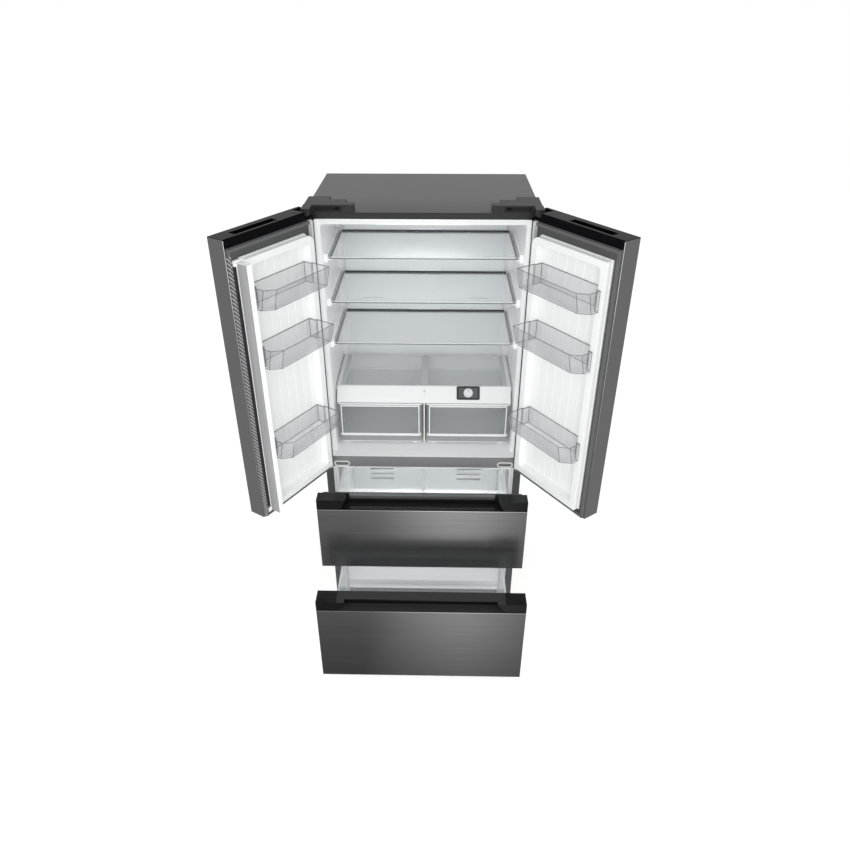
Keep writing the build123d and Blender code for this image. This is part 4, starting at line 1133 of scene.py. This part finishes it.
# %% [markdown]
# ## Hems of the doors
#
# The sheet of each door is folded in along its free edge, and the fold catches a thin line of light. A
# slim block along the fold, with round edges, gives that line a surface of its own, and its steel is
# painted paler than the door's as a painted highlight.

# %% Model the hems
hem_x = (2.2, 4.2)
hem_y = (-11.4, -10.2)
hem_z = (818.0, 1876.0)
for side in ("left", "right"):
    sign = -1 if side == "left" else 1
    x = sorted((sign * hem_x[0], sign * hem_x[1]))
    hem = block_between(side + "_door_hem", (x[0], hem_y[0], hem_z[0]), (x[1], hem_y[1], hem_z[1]))
    rounded(hem, 0.5)
    hang_on_door(hem, side)
    finished(hem, hem_highlight_steel, side + "_door")
print("length of a hem, in mm:", hem_z[1] - hem_z[0])

# %% [markdown]
# ## The control on the crisper cover
#
# The dark plate carries a lighter field, a ring of short marks and a dial that turns. The field is a
# thin block with an inset, sunk middle. The marks are one small bar, modelled once and copied round
# the dial at even angles. All of them are modelled flat and then leant back with the front of the cover.

# %% Lay pieces on the sloped front
dial_middle = Vector(row(186.0, 122.84, 1074.77))
slope_run = 44.0
slope_rise = 57.0
lean = math.atan2(slope_run, slope_rise)
slope_turn = Matrix.Translation(dial_middle) @ Matrix.Rotation(math.radians(90) - lean, 4, "X")
field_plastic = moulded_plastic("control_field", (0.085, 0.087, 0.089), 0.35, specular=0.3)
mark_plastic = moulded_plastic("control_mark", (0.6, 0.6, 0.6), 0.4, specular=0.2)


def lay_on_slope(piece, off_mm, spin=0.0):
    """Moves a piece modelled flat round the origin onto the sloped front, some way off it."""
    lift = Matrix.Translation((0, 0, off_mm / 1000))
    piece.matrix_world = slope_turn @ lift @ Matrix.Rotation(spin, 4, "Z")
    settle(piece)


def flat_block(name, size_mm, at_mm=(0.0, 0.0)):
    """A block laid flat, with its middle beside the origin, in millimetres."""
    bpy.ops.object.select_all(action="DESELECT")
    scale = [part / 1000 for part in size_mm]
    bpy.ops.mesh.primitive_cube_add(size=1, location=(at_mm[0] / 1000, at_mm[1] / 1000, 0), scale=scale)
    piece = bpy.context.object
    piece.name = name
    settle(piece)
    return piece


print("slope of the front, in degrees:", round(math.degrees(lean), 1))

# %% Model the field
field = flat_block("control_field", (78.0, 41.0, 0.6))
pick_faces(field, lambda middle, normal: normal.z > 0.9)
bpy.ops.mesh.inset(thickness=0.0014, depth=-0.0002)
leave_edit()
rounded(field, 0.2)
lay_on_slope(field, 2.7)
finished(field, field_plastic, "cabinet")
print("field, in metres:", [round(side, 3) for side in field.dimensions])

# %% Model the marks
mark_count = 7
first_mark_angle = -135
mark_step = 45
first_mark = flat_block("control_mark_1", (1.3, 2.4, 0.7), (0.0, 20.6))
rounded(first_mark, 0.25)
marks = [first_mark]
for count in range(2, mark_count + 1):
    marks.append(with_own_mesh(first_mark, "control_mark_" + str(count)))
for count, mark in enumerate(marks):
    lay_on_slope(mark, 3.2, math.radians(first_mark_angle + mark_step * count))
    finished(mark, mark_plastic, "cabinet")
print("marks round the dial:", len(marks))

# %% Model the pointer of the dial
pointer = flat_block("dial_pointer", (1.6, 11.0, 0.8), (0.0, 9.0))
rounded(pointer, 0.3)
lay_on_slope(pointer, 16.6)
finished(pointer, dark_plastic, "dial")
print("pointer faces:", len(pointer.data.polygons))

# %% [markdown]
# ## The freezer's mouth
#
# Under the divider the freezer's lining folds out to the front as a narrow white edge. A slim bar with
# rounded edges makes it catch the light, just short of where the drawer's seal closes.

# %% Model the mouth edge
mouth_half = 384.0
mouth_y = (-0.15, 1.6)
mouth_z = (774.5, 779.6)
low_corner = (-mouth_half, mouth_y[0], mouth_z[0])
high_corner = (mouth_half, mouth_y[1], mouth_z[1])
mouth = block_between("freezer_mouth_edge", low_corner, high_corner)
rounded(mouth, 0.6)
finished(mouth, white_plastic, "cabinet")
print("mouth edge width:", round(mouth.dimensions.x, 3))

# %% [markdown]
# ## Hinge covers
#
# In the dark window on the front of each hinge cover sits an oval plug. It is a cylinder pulled long, with
# a sunk face and a beveled edge that catches a little light.

# %% Model the plugs
plug_x = 300.0
plug_stretch = 1.9
cover_low, cover_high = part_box("hinge_covers")
plug_z = (cover_low.z * 1000 + cover_high.z * 1000) / 2 + 1
for side, sign in (("left", -1), ("right", 1)):
    bpy.ops.object.select_all(action="DESELECT")
    bpy.ops.mesh.primitive_cylinder_add(
        vertices=32,
        radius=0.0045,
        depth=0.0012,
        location=row(sign * plug_x, 0.6, plug_z),
        rotation=(math.radians(90), 0, 0),
    )
    plug = bpy.context.object
    plug.name = side + "_cover_plug"
    plug.scale = (plug_stretch, 1.0, 1.0)
    settle(plug)
    pick_faces(plug, lambda middle, normal: normal.y < -0.9)
    bpy.ops.mesh.inset(thickness=0.0012, depth=-0.0006)
    leave_edit()
    rounded(plug, 0.2)
    finished(plug, cap_plastic, "cabinet")
print("plug height:", round(plug_z, 1))

# %% [markdown]
# ## The lamp on the ceiling
#
# The lamp bar has a ribbed lens. A thin block is cut across by a row of planes, and every second strip of
# its underside is inset and sunk, which leaves fine cross ribs.

# %% Model the lens
strip_count = 27
end_inset = 6.0
side_inset = 5.0
lamp_low, lamp_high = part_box("ceiling_lamp")
lens_x = (lamp_low.x * 1000 + end_inset, lamp_high.x * 1000 - end_inset)
near_y = lamp_low.y * 1000 - front_shift_mm + side_inset
far_y = lamp_high.y * 1000 - front_shift_mm - side_inset
under_z = lamp_low.z * 1000
lens = block_between("lamp_lens", (lens_x[0], near_y, under_z - 1.2), (lens_x[1], far_y, under_z + 0.2))
strip_pitch = lens.dimensions.x / strip_count
first_x = lamp_low.x + end_inset / 1000
for count in range(1, strip_count):
    bpy.ops.object.mode_set(mode="EDIT")
    bpy.ops.mesh.select_all(action="SELECT")
    bpy.ops.mesh.bisect(plane_co=(first_x + count * strip_pitch, 0, 0), plane_no=(1, 0, 0))
    leave_edit()


def every_second_below(middle, normal):
    return normal.z < -0.9 and int((middle.x - first_x) / strip_pitch) % 2 == 0


pick_faces(lens, every_second_below)
bpy.ops.mesh.inset(thickness=0.0012, depth=-0.0005, use_individual=True)
leave_edit()
finished(lens, lamp_plastic, "cabinet")
print("strips on the lens:", strip_count)

# %% [markdown]
# ## Screws on the back
#
# The cover of the machine space is held by small screws. One screw is modelled from a short cylinder
# with a rounded head and a sunk socket, and copied to each place with a mesh of its own. The cover lies
# a millimetre inside the back of the cabinet, and the heads stay within that.

# %% Model and copy the screws
screw_radius = 4.5
screw_depth = 1.4
screw_clear = 0.05
screw_rows_in = 9.0
screw_x = (-370.0, -185.0, 0.0, 185.0, 370.0)
bpy.ops.object.select_all(action="DESELECT")
bpy.ops.mesh.primitive_cylinder_add(
    vertices=16,
    radius=screw_radius / 1000,
    depth=screw_depth / 1000,
    rotation=(math.radians(-90), 0, 0),
)
screw = bpy.context.object
screw.name = "cover_screw_1"
settle(screw)
pick_faces(screw, lambda middle, normal: normal.y > 0.9)
bpy.ops.mesh.inset(thickness=0.0028, depth=-0.0005)
leave_edit()
rounded(screw, 0.4)
screws = [screw]
for count in range(2, 2 * len(screw_x) + 1):
    screws.append(with_own_mesh(screw, "cover_screw_" + str(count)))
cover_low, cover_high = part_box("rear_cover")
rows_z = (cover_high.z - screw_rows_in / 1000, cover_low.z + screw_rows_in / 1000)
places = [(x / 1000, z) for z in rows_z for x in screw_x]
screw_y = cad_box[1][1] - (screw_depth / 2 + screw_clear) / 1000
for piece, (x, z) in zip(screws, places):
    piece.matrix_world = Matrix.Translation((x, screw_y, z))
    settle(piece)
    finished(piece, slide_steel, "cabinet")
print("screws:", len(screws))
